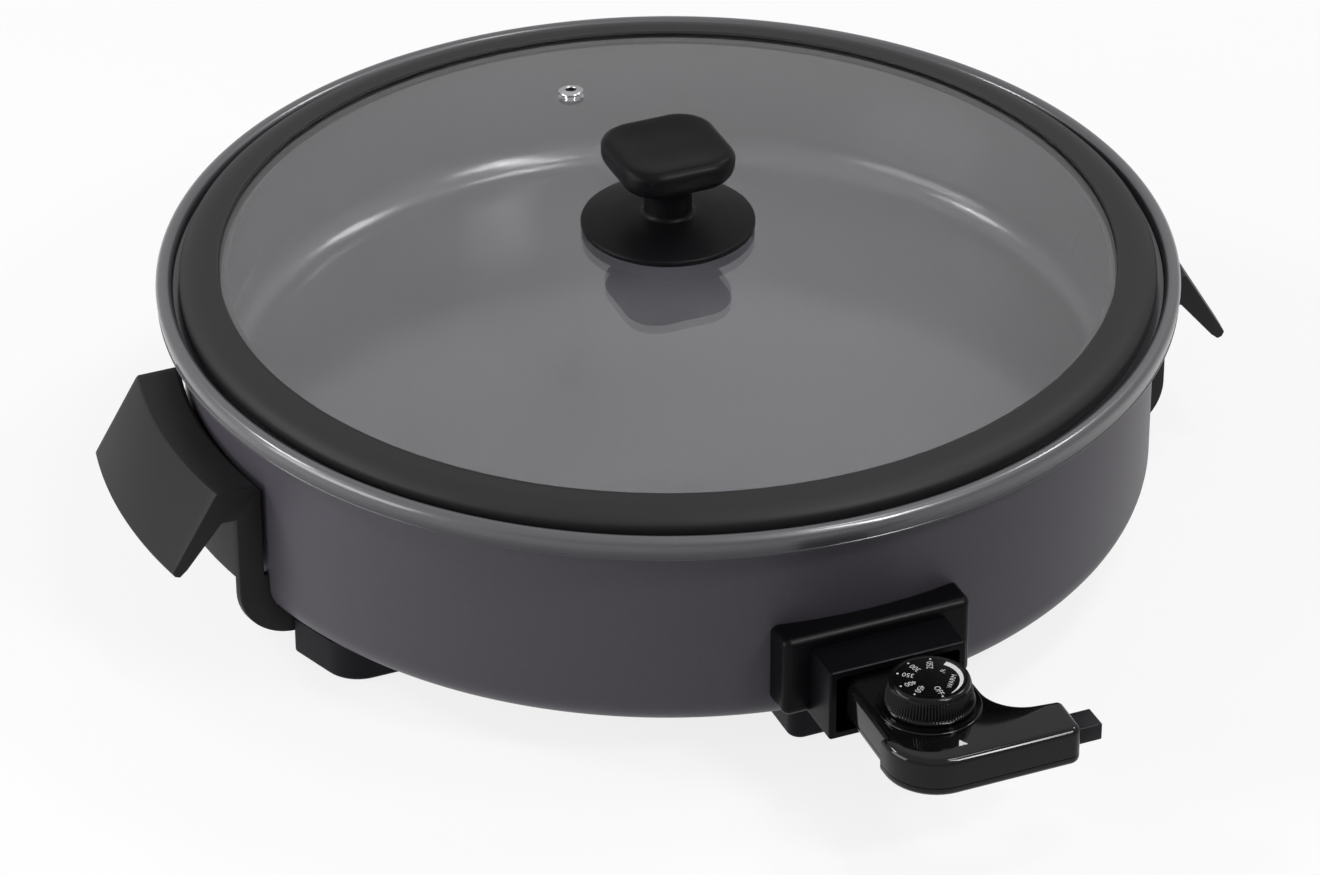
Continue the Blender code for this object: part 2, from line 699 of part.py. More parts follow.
def handles(bench):
    """Two handles, each with two bosses against the wall, and the screws that come through it."""
    reach = wall_x() + (HANDLE_IN_R + HANDLE_LEG - SHELL_R) * HANDLE_SCREW_SHARE
    boss_low = math.sqrt((SHELL_R + SEAT_GAP) ** 2 - (BOSS_Y - BOSS_R) ** 2)
    for side, word in ((-1, "left"), (1, "right")):
        handle = bench.place(handle_mesh(side), "handle_" + word, "base", "handle_plastic")
        bosses = []
        drills = []
        for y in (-BOSS_Y, BOSS_Y):
            boss = rod_profile(BOSS_R, boss_low, HANDLE_IN_R + HANDLE_LEG / 2)
            bosses.append((turned_mesh("boss", boss, SMALL_STEPS), (0, y, BOSS_Z), outward(side)))
            drill = rod_profile(HANDLE_SCREW_R + SEAT_GAP, boss_low - CUT_OVER, reach + SEAT_GAP)
            drills.append((turned_mesh("drill", drill, SCREW_STEPS), (0, y, BOSS_Z), outward(side)))
        bench.cutter(gathered("bosses", bosses), handle, "base", operation="UNION")
        bench.cutter(gathered("drills", drills), handle, "base")
    head_x = wall_x() - SEAT_GAP
    for number, (side, y) in enumerate(handle_screw_places()):
        screw = screw_profile(HANDLE_SCREW_R, HANDLE_SCREW_HEAD_R, HANDLE_SCREW_HEAD, reach - head_x)
        mesh = turned_mesh("screw", screw, SCREW_STEPS)
        bench.place(mesh, "handle_screw_%d" % (number + 1), "base", "zinc_steel",
                    at=(side * head_x, y, BOSS_Z), turn=outward(side))


def corner_foot(side, end):
    """Return the corners of a foot that stands beside one end of a handle."""
    near = HANDLE_HALF + SEAT_GAP
    far = near + FOOT_WIDTH
    out_near = math.sqrt(FOOT_R ** 2 - near ** 2)
    out_far = math.sqrt(FOOT_R ** 2 - far ** 2)
    back = out_far - FOOT_DEPTH + FOOT_ROUND / 2
    edge = FOOT_ROUND / 8
    corners = [(back, near, edge), (out_near, near, edge), (out_far, far, FOOT_ROUND),
               (back, far, FOOT_ROUND / 2)]
    placed = [(side * x, end * y, radius) for x, y, radius in corners]
    if side * end < 0:
        placed.reverse()
    return placed


def end_foot(end):
    """Return the corners of the wide foot at the front or the back."""
    half = FRONT_FOOT_HALF
    near = end * FRONT_FOOT_R
    far = end * (FRONT_FOOT_R - FOOT_DEPTH)
    corners = [(x, y, FRONT_FOOT_ROUND) for x, y in ((-half, near), (half, near), (half, far), (-half, far))]
    if end > 0:
        corners.reverse()
    return corners


def feet(bench):
    """Six feet with flat soles under the body."""
    edge = FOOT_ROUND / 8
    layers = [(edge, 0), (0, edge), (0, SHELL_BOTTOM - SEAT_GAP)]
    for side, across in ((-1, "left"), (1, "right")):
        for end, along in ((-1, "front"), (1, "rear")):
            mesh = plate_mesh("foot", corner_foot(side, end), layers)
            bench.place(mesh, "foot_%s_%s" % (across, along), "base", "handle_plastic")
    for end, along in ((-1, "front"), (1, "rear")):
        mesh = plate_mesh("foot", end_foot(end), layers)
        bench.place(mesh, "foot_%s" % along, "base", "handle_plastic")


def box_corners(half, low, high, radius):
    """Return the corners of an upright rectangle seen along Y, counter-clockwise."""
    return [(-half, low, radius), (half, low, radius), (half, high, radius), (-half, high, radius)]


def socket_housing(bench):
    """Socket moulding: a flange that fits the round wall, and a deep box open to the front."""
    flange_low = FLANGE_TOP - FLANGE_HEIGHT
    box_low = BOX_TOP - BOX_HEIGHT
    flange = box_corners(FLANGE_HALF, flange_low, FLANGE_TOP, FLANGE_ROUND)
    back = SHELL_R - SHELL_CORNER
    mesh = plate_mesh("flange", flange, rounded_layers(back, FLANGE_FRONT, FLANGE_ROUND, steps=3), steps=3)
    socket = bench.place(mesh, "socket_housing", "base", "socket_plastic", turn=TOWARD_CONTROL)
    box = box_corners(BOX_HALF, box_low, BOX_TOP, BOX_WALL / 2)
    layers = rounded_layers(FLANGE_FRONT - FLANGE_ROUND, BOX_FRONT, BOX_WALL / 3, steps=2)
    mesh = plate_mesh("box", box, layers, steps=2)
    bench.cutter(mesh, socket, "base", turn=TOWARD_CONTROL, operation="UNION")
    seat = turned_mesh("seat", rod_profile(SHELL_R + SEAT_GAP, 0, RIM_TOP), 2 * BIG_STEPS)
    bench.cutter(seat, socket, "base")
    hollow = box_corners(BOX_HALF - BOX_WALL, box_low + BOX_WALL, BOX_TOP - BOX_WALL, BOX_WALL / 2)
    mesh = plate_mesh("hollow", hollow, [(0, BOX_FLOOR_Y), (0, BOX_FRONT + CUT_OVER)], steps=2)
    bench.cutter(mesh, socket, "base", turn=TOWARD_CONTROL)
    low = BOX_FLOOR_Y - SHELL_CORNER
    holes = [(-PIN_X, PIN_R + SEAT_GAP), (PIN_X, PIN_R + SEAT_GAP), (0, guide_r() + SEAT_GAP)]
    cuts = holes_along(holes, lambda radius: rod_profile(radius, low, BOX_FRONT - BOX_WALL),
                       PROBE_Z, TOWARD_CONTROL)
    holes = [(side * SOCKET_SCREW_X, SOCKET_SCREW_R + SEAT_GAP) for side in (-1, 1)]
    high = SHELL_R + socket_screw_depth()
    cuts += holes_along(holes, lambda radius: rod_profile(radius, low, high), PROBE_Z, TOWARD_CONTROL)
    bench.cutter(gathered("socket_holes", cuts), socket, "base")


def socket_screw_depth():
    """Return how far a socket screw reaches past the wall, short of the flange's front."""
    return (FLANGE_FRONT - SHELL_R) / 2


def guide_r():
    """Return the outer radius of the probe's guide tube."""
    return PROBE_R + RUN_GAP + GUIDE_WALL


def bracket_back():
    """Return how far from the axis the bracket's outer face stands, inside the curved wall."""
    facet_r = (SHELL_R - SHELL_SKIN) * math.cos(math.pi / BIG_STEPS)
    return math.sqrt(facet_r ** 2 - BRACKET_HALF ** 2) - SEAT_GAP


def socket_bracket(bench):
    """Steel plate inside the wall, with its two screws and the guide tube for the probe."""
    low = PROBE_Z - BRACKET_HEIGHT / 2
    high = PROBE_Z + BRACKET_HEIGHT / 2
    plate = box_corners(BRACKET_HALF, low, high, GUIDE_WALL)
    face = bracket_back()
    mesh = plate_mesh("bracket", plate, [(0, face - BRACKET_SKIN), (0, face)], steps=2)
    bracket = bench.place(mesh, "socket_bracket", "base", "zinc_steel", turn=TOWARD_CONTROL)
    holes = [(-PIN_X, BEAD_R + SEAT_GAP), (PIN_X, BEAD_R + SEAT_GAP), (0, guide_r() + SEAT_GAP),
             (-SOCKET_SCREW_X, SOCKET_SCREW_R + SEAT_GAP), (SOCKET_SCREW_X, SOCKET_SCREW_R + SEAT_GAP)]
    cuts = holes_along(holes, lambda radius: rod_profile(radius, face - CUT_OVER, face + CUT_OVER),
                       PROBE_Z, TOWARD_CONTROL)
    bench.cutter(gathered("bracket_holes", cuts), bracket, "base")
    back = face - BRACKET_SKIN - SEAT_GAP
    length = SHELL_R + socket_screw_depth() - back - SEAT_GAP
    for number, side in enumerate((-1, 1)):
        screw = screw_profile(SOCKET_SCREW_R, SOCKET_SCREW_HEAD_R, SOCKET_SCREW_HEAD, length)
        mesh = turned_mesh("screw", screw, SCREW_STEPS)
        bench.place(mesh, "socket_screw_%d" % (number + 1), "base", "zinc_steel",
                    at=(side * SOCKET_SCREW_X, -back, PROBE_Z), turn=TOWARD_CONTROL)
    guide = tube_profile(PROBE_R + RUN_GAP, guide_r(), BOX_FLOOR_Y - GUIDE_LENGTH, BOX_FLOOR_Y)
    bench.place(turned_mesh("guide", guide, SMALL_STEPS), "probe_guide", "base", "zinc_steel",
                at=(0, 0, PROBE_Z), turn=TOWARD_CONTROL)


def dome_height(radius):
    """Return the height of the glass's upper face at a radius."""
    return GLASS_TOP - DOME_R + math.sqrt(DOME_R ** 2 - radius ** 2)


def lid_glass(bench):
    """Domed glass with a ground edge, a hole for the knob's screw and one for the vent."""
    shares = GLASS_ROW_SHARES
    upper = [(GLASS_HOLE_R, dome_height(GLASS_HOLE_R))]
    upper += [(GLASS_EDGE_R * share, dome_height(GLASS_EDGE_R * share)) for share in shares[:-1]]
    edge_z = dome_height(GLASS_EDGE_R)
    bevel = GLASS_SKIN / 5
    upper += [(GLASS_EDGE_R - bevel, edge_z), (GLASS_EDGE_R, edge_z - bevel)]
    lower = [(radius, height - GLASS_SKIN) for radius, height in upper[-2::-1]]
    lower.insert(0, (GLASS_EDGE_R, edge_z - GLASS_SKIN + bevel))
    mesh = turned_mesh("lid_glass", upper + lower, BIG_STEPS)
    glass = bench.place(mesh, "lid_glass", "lid", "glass")
    hole = rod_profile(VENT_TUBE_R + SEAT_GAP, -2 * GLASS_SKIN, GLASS_SKIN)
    bench.cutter(turned_mesh("vent_hole", hole, SMALL_STEPS), glass, "lid", at=vent_place(), turn=vent_turn())


def vent_place():
    """Return the vent's centre on the glass's upper face."""
    return VENT_X, VENT_Y, dome_height(math.hypot(VENT_X, VENT_Y))


def vent_turn():
    """Return the rotation that stands the vent square to the dome."""
    return -VENT_Y / DOME_R, VENT_X / DOME_R, 0


def vent_eyelet(bench):
    """Steel eyelet clinched over both faces of the glass."""
    over = SEAT_GAP + VENT_LIP
    under = -GLASS_SKIN - SEAT_GAP
    profile = [(VENT_BORE_R, under - VENT_LIP), (VENT_LIP_R - VENT_LIP / 2, under - VENT_LIP),
               (VENT_LIP_R, under), (VENT_TUBE_R, under), (VENT_TUBE_R, SEAT_GAP), (VENT_LIP_R, SEAT_GAP),
               (VENT_LIP_R - VENT_LIP / 3, over), (VENT_BORE_R + VENT_LIP, over + VENT_LIP / 2),
               (VENT_BORE_R, over)]
    bench.place(turned_mesh("vent_eyelet", profile, SCREW_STEPS), "vent_eyelet", "lid", "bright_steel",
                at=vent_place(), turn=vent_turn())


def lid_ring(bench):
    """Flexible ring with a groove that grips the glass and a heel that sits on the pan's ledge."""
    eye_top = RIM_TOP + RING_HEIGHT + RING_LIP
    over_eye = dome_height(RING_EYE_R) + SEAT_GAP
    over_edge = dome_height(GLASS_EDGE_R) + SEAT_GAP
    under_eye = dome_height(RING_EYE_R) - GLASS_SKIN - SEAT_GAP
    under_edge = dome_height(GLASS_EDGE_R) - GLASS_SKIN - SEAT_GAP
    foot = LEDGE_Z + SEAT_GAP
    groove_r = GLASS_EDGE_R + SEAT_GAP
    profile = [(RING_EYE_R, over_eye), (RING_EYE_R + RING_LIP / 3, over_eye + RING_LIP * RING_CROWN_SHARE),
               (RING_EYE_R + RING_LIP, eye_top - RING_LIP / 5)]
    shoulder = (RING_R - RING_LIP * 2, over_edge + RING_LIP * RING_SHOULDER_SHARE)
    profile += arc(shoulder, RING_LIP * 2, 60, 0)
    profile += [(RING_R, foot + RING_LIP / 2), (RING_R - RING_LIP / 2, foot), (LEDGE_R + RING_LIP, foot)]
    profile += [(RING_EYE_R + RING_LIP, under_eye - RING_LIP), (RING_EYE_R, under_eye - RING_LIP / 2),
                (RING_EYE_R, under_eye), (groove_r, under_edge), (groove_r, over_edge)]
    bench.place(turned_mesh("lid_ring", profile, BIG_STEPS), "lid_ring", "lid", "ring_rubber")


def knob(bench):
    """Knob: a flared stem on a shallow cone, and a dished cap; its screw and washers."""
    disc_low = GLASS_TOP + SEAT_GAP
    disc_top = disc_low + KNOB_DISC_EDGE
    cap_low = KNOB_TOP - KNOB_CAP_HEIGHT
    waist = disc_top + KNOB_CONE
    round_r = KNOB_DISC_EDGE / 3
    bore_r = LID_SCREW_R + SEAT_GAP
    bore_top = cap_low - KNOB_CONE
    profile = [(bore_r, disc_low), (KNOB_DISC_R - round_r, disc_low), (KNOB_DISC_R, disc_low + round_r),
               (KNOB_DISC_R, disc_top - round_r), (KNOB_DISC_R - round_r, disc_top)]
    fillet = KNOB_CONE * 2
    profile.append((KNOB_NECK_R + fillet, waist - KNOB_CONE / 4))
    profile += arc((KNOB_NECK_R + fillet, waist + fillet * KNOB_FILLET_SHARE), fillet, 260, 185, 4)
    flare = KNOB_NECK_TOP_R - KNOB_NECK_R
    flare_low = cap_low - flare * 2
    profile += [(KNOB_NECK_R, (profile[-1][1] + flare_low) / 2), (KNOB_NECK_R + flare / 3, flare_low),
                (KNOB_NECK_TOP_R, cap_low - SEAT_GAP), (0, cap_low - SEAT_GAP)]
    profile = [(0, bore_top), (bore_r, bore_top)] + profile
    bench.place(turned_mesh("knob_stem", profile, KNOB_STEPS), "knob_stem", "lid", "knob_plastic")
    half = KNOB_CAP_WIDTH / 2
    corners = [(x * half, y * half, KNOB_CAP_CORNER) for x, y in ((-1, -1), (1, -1), (1, 1), (-1, 1))]
    square = rounded_outline(corners, steps=2 * ARC_STEPS)
    edge = KNOB_CAP_HEIGHT / 4
    layers = [(half * inset, cap_low + KNOB_CAP_HEIGHT * share) for inset, share in KNOB_UNDER_SHARES]
    layers += [(edge * (1 - math.cos(angle)), KNOB_TOP - edge * (1 - math.sin(angle)))
               for angle in (math.pi / 2 * step / 3 for step in range(4))]
    layers += [(half * inset_share, KNOB_TOP - KNOB_DISH * share) for inset_share, share in KNOB_DISH_SHARES]
    scaled = [(1 - inset / half, height) for inset, height in layers]
    rings = [[(x * share, y * share, height) for x, y in square] for share, height in scaled]
    bench.place(lofted_mesh("knob_cap", rings), "knob_cap", "lid", "knob_plastic", sharp=50)
    under = GLASS_UNDER - SEAT_GAP
    gasket = tube_profile(bore_r, LID_GASKET_R, under - LID_GASKET, under)
    bench.place(turned_mesh("gasket", gasket, SMALL_STEPS), "lid_gasket", "lid", "ring_rubber")
    washer_top = under - LID_GASKET - SEAT_GAP
    washer = tube_profile(bore_r, LID_WASHER_R, washer_top - LID_WASHER, washer_top)
    bench.place(turned_mesh("washer", washer, SMALL_STEPS), "lid_washer", "lid", "bright_steel")
    head_z = washer_top - LID_WASHER - SEAT_GAP
    screw = screw_profile(LID_SCREW_R, LID_SCREW_HEAD_R, LID_SCREW_HEAD, bore_top - SEAT_GAP - head_z)
    bench.place(turned_mesh("screw", screw, SCREW_STEPS), "lid_screw", "lid", "bright_steel",
                at=(0, 0, head_z))


def case_corners():
    """Return the corners of the control seen from above: neck, swept side arm and big front corner."""
    shoulder_y = -BOX_FRONT - CASE_ROUND
    neck_y = -DIAL_Y - CASE_SWEEP * CASE_NECK_SHARE
    corners = [
        (-CASE_SHOULDER_HALF, -CASE_BACK, CASE_ROUND / 2),
        (-CASE_SHOULDER_HALF, shoulder_y + CASE_ROUND, CASE_ROUND / 2),
        (-CASE_NECK_HALF, shoulder_y, CASE_ROUND / 2),
        (-CASE_NECK_HALF - CASE_WALL / 3, neck_y, 0),
        (-CASE_LEFT, neck_y, 0),
        (-CASE_LEFT, -CASE_FRONT, CASE_CORNER),
        (CASE_RIGHT, -CASE_FRONT, CASE_ROUND * CASE_END_SHARE),
        (CASE_RIGHT + CASE_ROUND / 5, -CASE_ARM_BACK, CASE_ROUND),
        (CASE_NECK_HALF, -CASE_ARM_BACK + CASE_ROUND, CASE_SWEEP),
        (CASE_NECK_HALF, shoulder_y, CASE_ROUND / 2),
        (CASE_SHOULDER_HALF, shoulder_y + CASE_ROUND, CASE_ROUND / 2),
        (CASE_SHOULDER_HALF, -CASE_BACK, CASE_ROUND / 2),
    ]
    return corners


def nose_mesh():
    """Make the block under the neck that carries the contact sleeves inside the socket."""
    half = CASE_SHOULDER_HALF - CASE_ROUND / 2
    back = -CASE_BACK - CASE_ROUND / 2
    front = -CASE_BACK - SLEEVE_LENGTH - CASE_WALL
    corners = [(x, y, CASE_ROUND) for x, y in ((-half, front), (half, front), (half, back), (-half, back))]
    low = CASE_BOTTOM - NOSE_DROP
    layers = [(CASE_ROUND / 2, low), (0, low + CASE_ROUND / 2), (0, CASE_BOTTOM + CASE_WALL / 2)]
    return plate_mesh("nose", corners, layers)


def case_screw_places():
    """Return x and y of the three screws that close the control's case from below."""
    inset = CASE_WALL * 2
    return [(-CASE_LEFT + CASE_CORNER * POST_SHARE, -CASE_FRONT + CASE_CORNER * POST_SHARE),
            (CASE_RIGHT - CASE_SWEEP, -CASE_FRONT + inset + CASE_WALL / 2),
            (-CASE_NECK_HALF + inset, -CASE_BACK - SLEEVE_LENGTH - 2 * inset)]


def control_case(bench):
    """Control case: two hollow halves that part at the probe's axis, with screws from below."""
    outline = case_corners()
    low_edge = PROBE_Z - SEAT_GAP / 2
    high_edge = PROBE_Z + SEAT_GAP / 2
    hollow_low = CASE_BOTTOM + CASE_WALL
    hollow_high = CASE_TOP - CASE_WALL
    layers = rounded_layers(CASE_BOTTOM, low_edge, 0, CASE_ROUND, EDGE_STEPS)[:-EDGE_STEPS]
    lower = bench.place(plate_mesh("case", outline, layers), "control_case_lower", "control", "control_plastic")
    layers = rounded_layers(high_edge, CASE_TOP, CASE_ROUND, 0, EDGE_STEPS)
    upper = bench.place(plate_mesh("case", outline, layers), "control_case_upper", "control", "control_plastic")
    post_r = CASE_SCREW_R + POST_WALL
    for piece, layers in ((lower, [(CASE_WALL, hollow_low), (CASE_WALL, PROBE_Z + CUT_OVER)]),
                          (upper, [(CASE_WALL, PROBE_Z - CUT_OVER), (CASE_WALL, hollow_high)])):
        bench.cutter(plate_mesh("hollow", outline, layers), piece, "control")
    spans = ((lower, hollow_low - CASE_WALL / 2, low_edge - SEAT_GAP),
             (upper, high_edge + SEAT_GAP, hollow_high + CASE_WALL / 2))
    for piece, low, high in spans:
        posts = [(turned_mesh("post", rod_profile(post_r, low, high), SCREW_STEPS), (x, y, 0), LEVEL)
                 for x, y in case_screw_places()]
        if piece is upper:
            step = COLLAR_HEIGHT / 2
            root = CASE_TOP - CASE_WALL / 2
            collar = [(0, root), (COLLAR_R, root), (COLLAR_R, CASE_TOP + step / 2),
                      (COLLAR_R - step, CASE_TOP + step), (COLLAR_R - step, CASE_TOP + COLLAR_HEIGHT),
                      (0, CASE_TOP + COLLAR_HEIGHT)]
            posts.append((turned_mesh("collar", collar, KNOB_STEPS), (0, -DIAL_Y, 0), LEVEL))
        else:
            posts.append((nose_mesh(), (0, 0, 0), LEVEL))
        bench.cutter(gathered("posts", posts), piece, "control", operation="UNION")
    seat = case_screw_seat()
    head_r = CASE_SCREW_HEAD_R + SEAT_GAP
    shank_r = CASE_SCREW_R + SEAT_GAP
    top = hollow_high - CASE_WALL / 2
    drill = [(0, CASE_BOTTOM - CUT_OVER), (head_r, CASE_BOTTOM - CUT_OVER), (head_r, seat), (shank_r, seat),
             (shank_r, top), (0, top)]
    half = GLAND_WIDTH / 2 + SEAT_GAP - GLAND_COLLAR
    high = GLAND_HEIGHT / 2 + SEAT_GAP - GLAND_COLLAR
    notch = [(gland_y() - half, gland_z() - high), (gland_y() + half, gland_z() - high),
             (gland_y() + half, gland_z() + high), (gland_y() - half, gland_z() + high)]
    rings = [[(x, y, z) for y, z in notch] for x in (CASE_RIGHT - 2 * CASE_WALL, CASE_RIGHT + CUT_OVER)]
    port_end = CASE_BACK + SLEEVE_LENGTH + 2 * SEAT_GAP
    ports = [(0, PROBE_R + SEAT_GAP), (-PIN_X, sleeve_r() + SEAT_GAP), (PIN_X, sleeve_r() + SEAT_GAP)]
    for piece in (lower, upper):
        cuts = [(turned_mesh("drill", drill, SCREW_STEPS), (x, y, 0), LEVEL)
                for x, y in case_screw_places()]
        cuts += holes_along(ports, lambda radius: rod_profile(radius, CASE_BACK - CUT_OVER, port_end),
                            PROBE_Z, TOWARD_CONTROL)
        if piece is upper:
            over = CASE_TOP + COLLAR_HEIGHT + CUT_OVER
            bore = rod_profile(SHAFT_R + SEAT_GAP, hollow_high - CUT_OVER, over)
            cuts.append((turned_mesh("bore", bore, SMALL_STEPS), (0, -DIAL_Y, 0), LEVEL))
            cuts.append((lofted_mesh("notch", rings), (0, 0, 0), LEVEL))
        bench.cutter(gathered("case_holes", cuts), piece, "control")
    length = top - SEAT_GAP - seat
    for number, (x, y) in enumerate(case_screw_places()):
        screw = screw_profile(CASE_SCREW_R, CASE_SCREW_HEAD_R, CASE_SCREW_HEAD, length)
        mesh = turned_mesh("screw", screw, SCREW_STEPS)
        bench.place(mesh, "case_screw_%d" % (number + 1), "control", "zinc_steel",
                    at=(x, y, seat - SEAT_GAP))


def case_screw_seat():
    """Return the height on which the case screws' heads bear."""
    return CASE_BOTTOM + CASE_SCREW_HEAD + SEAT_GAP


def sleeve_r():
    """Return the outer radius of a contact sleeve."""
    return PIN_R + RUN_GAP + SLEEVE_WALL


def gland_y():
    """Return the cord gland's place along the case's side."""
    return -(CASE_FRONT + CASE_ARM_BACK) / 2 + CASE_ROUND / 3


def gland_z():
    """Return the cord gland's height."""
    return CASE_TOP - GLAND_DROP


def control_inside(bench):
    """Probe, contact sleeves, gland, thermostat frame with its leaf, and the dial's shaft nut."""
    nose = PROBE_R / 2
    back = CASE_BACK + SLEEVE_LENGTH
    probe = [(0, PROBE_TIP), (PROBE_R - nose, PROBE_TIP), (PROBE_R, PROBE_TIP + nose), (PROBE_R, back),
             (0, back)]
    bench.place(turned_mesh("probe", probe, SMALL_STEPS), "probe_tube", "control", "bright_steel",
                at=(0, 0, PROBE_Z), turn=TOWARD_CONTROL)
    for x, word in ((-PIN_X, "left"), (PIN_X, "right")):
        sleeve = tube_profile(PIN_R + RUN_GAP, sleeve_r(), CASE_BACK + SEAT_GAP, back)
        bench.place(turned_mesh("sleeve", sleeve, SMALL_STEPS), "contact_sleeve_" + word, "control", "brass",
                    at=(x, 0, PROBE_Z), turn=TOWARD_CONTROL)
    half = GLAND_WIDTH / 2 - GLAND_COLLAR
    high = GLAND_HEIGHT / 2 - GLAND_COLLAR
    rings = []
    inner_x = CASE_RIGHT - 2 * CASE_WALL + SEAT_GAP
    outer_x = CASE_RIGHT + GLAND_LENGTH
    step_x = CASE_RIGHT + SEAT_GAP + CASE_ROUND / 5
    for x, spread in ((inner_x, 0), (step_x, 0), (step_x, GLAND_COLLAR), (outer_x, GLAND_COLLAR)):
        wide = half + spread
        tall = high + spread
        rings.append([(x, gland_y() - wide, gland_z() - tall), (x, gland_y() + wide, gland_z() - tall),
                      (x, gland_y() + wide, gland_z() + tall), (x, gland_y() - wide, gland_z() + tall)])
    gland = bench.place(lofted_mesh("gland", rings), "cord_gland", "control", "socket_plastic")
    bore = rod_profile(GLAND_BORE_R, inner_x - CUT_OVER, outer_x + CUT_OVER)
    bench.cutter(turned_mesh("bore", bore, SMALL_STEPS), gland, "control",
                 at=(0, gland_y(), gland_z()), turn=(0, math.pi / 2, 0))
    plate_top = CASE_TOP - CASE_WALL - SEAT_GAP
    plate = [(-FRAME_HALF, -FRAME_FRONT, FRAME_PLATE), (FRAME_HALF, -FRAME_FRONT, FRAME_PLATE),
             (FRAME_HALF, -FRAME_BACK, FRAME_PLATE), (-FRAME_HALF, -FRAME_BACK, FRAME_PLATE)]
    mesh = plate_mesh("frame", plate, [(0, plate_top - FRAME_PLATE), (0, plate_top)], steps=2)
    frame = bench.place(mesh, "thermostat_frame", "control", "zinc_steel")
    leg_low = CASE_BOTTOM + CASE_WALL + SEAT_GAP
    half = FRAME_HALF / 2
    for y in (-FRAME_FRONT, -FRAME_BACK - FRAME_PLATE):
        square = [(-half, y), (half, y), (half, y + FRAME_PLATE), (-half, y + FRAME_PLATE)]
        rings = [[(x, along, z) for x, along in square] for z in (leg_low, plate_top - FRAME_PLATE / 2)]
        bench.cutter(lofted_mesh("leg", rings), frame, "control", operation="UNION")
    hole = rod_profile(SHAFT_R + SEAT_GAP, plate_top - CUT_OVER, plate_top + CUT_OVER)
    bench.cutter(turned_mesh("hole", hole, SMALL_STEPS), frame, "control", at=(0, -DIAL_Y, 0))
    leaf_top = DIAL_BOTTOM - SHAFT_DROP - SEAT_GAP
    leaf_back = -FRAME_BACK - FRAME_PLATE - SEAT_GAP
    leaf_front = -FRAME_FRONT + FRAME_PLATE + SEAT_GAP
    leaf = [(-LEAF_HALF, leaf_front, LEAF_SKIN), (LEAF_HALF, leaf_front, LEAF_SKIN),
            (LEAF_HALF, leaf_back, LEAF_SKIN), (-LEAF_HALF, leaf_back, LEAF_SKIN)]
    mesh = plate_mesh("leaf", leaf, [(0, leaf_top - LEAF_SKIN), (0, leaf_top)], steps=2)
    bench.place(mesh, "contact_leaf", "control", "brass")


def dial(bench):
    """Ribbed dial with a stepped top, and the shaft that it turns."""
    count = DIAL_RIBS * 2
    rings = []
    skirt_top = DIAL_BOTTOM + DIAL_SKIRT
    edge = DIAL_RIB * DIAL_EDGE_SHARE
    top = DIAL_BOTTOM + DIAL_HEIGHT
    rows = [(DIAL_SKIRT_R, DIAL_BOTTOM, DIAL_RIB), (DIAL_SKIRT_R - DIAL_RIB, skirt_top, DIAL_RIB),
            (DIAL_TOP_R + edge, top - edge * 2, 0), (DIAL_TOP_R, top - edge / 2, 0),
            (DIAL_TOP_R - edge / 2, top, 0)]
    for radius, height, rib in rows:
        ring = []
        for place in range(count):
            x, y = polar(radius - rib * (place % 2), 2 * math.pi * place / count)
            ring.append((x, y, height))
        rings.append(ring)
    knob_piece = bench.place(lofted_mesh("dial", rings), "dial", "dial", "dial_plastic", at=(0, -DIAL_Y, 0))
    bore = rod_profile(SHAFT_R + SEAT_GAP, DIAL_BOTTOM - CUT_OVER, DIAL_BOTTOM + DIAL_SKIRT)
    bench.cutter(turned_mesh("bore", bore, SMALL_STEPS), knob_piece, "dial", at=(0, -DIAL_Y, 0))
    shaft = rod_profile(SHAFT_R, DIAL_BOTTOM - SHAFT_DROP, DIAL_BOTTOM + DIAL_SKIRT - SEAT_GAP)
    bench.place(turned_mesh("shaft", shaft, SMALL_STEPS), "dial_shaft", "dial", "brass", at=(0, -DIAL_Y, 0))


def main():
    """Build the whole skillet."""
    clear_scene()
    bench = Bench()
    for build in (outer_shell, inner_pan, heater, reflector, handles, feet, socket_housing, socket_bracket,
                  lid_glass, vent_eyelet, lid_ring, knob, control_case, control_inside, dial):
        build(bench)


main()
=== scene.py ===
"""Studio scene of an electric skillet with a glass lid and a plug-in dial control.

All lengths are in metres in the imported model's frame: +Z up, the table at z = 0 and the
control toward -Y. Round pieces are drawn about the pan's axis and then set in place.
"""

import logging
import math
from dataclasses import dataclass, field
from enum import Enum

import bmesh
import bpy
from mathutils import Euler, Matrix, Vector


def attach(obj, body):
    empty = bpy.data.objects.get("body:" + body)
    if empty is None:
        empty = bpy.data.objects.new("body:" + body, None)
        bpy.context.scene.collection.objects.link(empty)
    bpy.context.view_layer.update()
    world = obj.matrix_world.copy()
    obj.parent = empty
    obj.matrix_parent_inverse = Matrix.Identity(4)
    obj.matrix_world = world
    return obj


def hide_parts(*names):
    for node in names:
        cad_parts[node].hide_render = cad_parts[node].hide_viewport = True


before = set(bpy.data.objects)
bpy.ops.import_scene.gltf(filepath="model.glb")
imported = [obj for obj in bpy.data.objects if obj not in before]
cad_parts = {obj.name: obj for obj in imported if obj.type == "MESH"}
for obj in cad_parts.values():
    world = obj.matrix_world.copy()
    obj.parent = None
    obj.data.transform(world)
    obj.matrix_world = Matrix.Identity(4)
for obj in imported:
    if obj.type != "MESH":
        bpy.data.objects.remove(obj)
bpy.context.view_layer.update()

LOG = logging.getLogger("skillet")
Point = tuple[float, float]
Corner = tuple[float, float, float]
Colour = tuple[float, float, float]


class Body(Enum):
    """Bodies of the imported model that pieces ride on."""

    BASE = "base"
    LID = "lid"
    CONTROL = "control"
    DIAL = "dial"


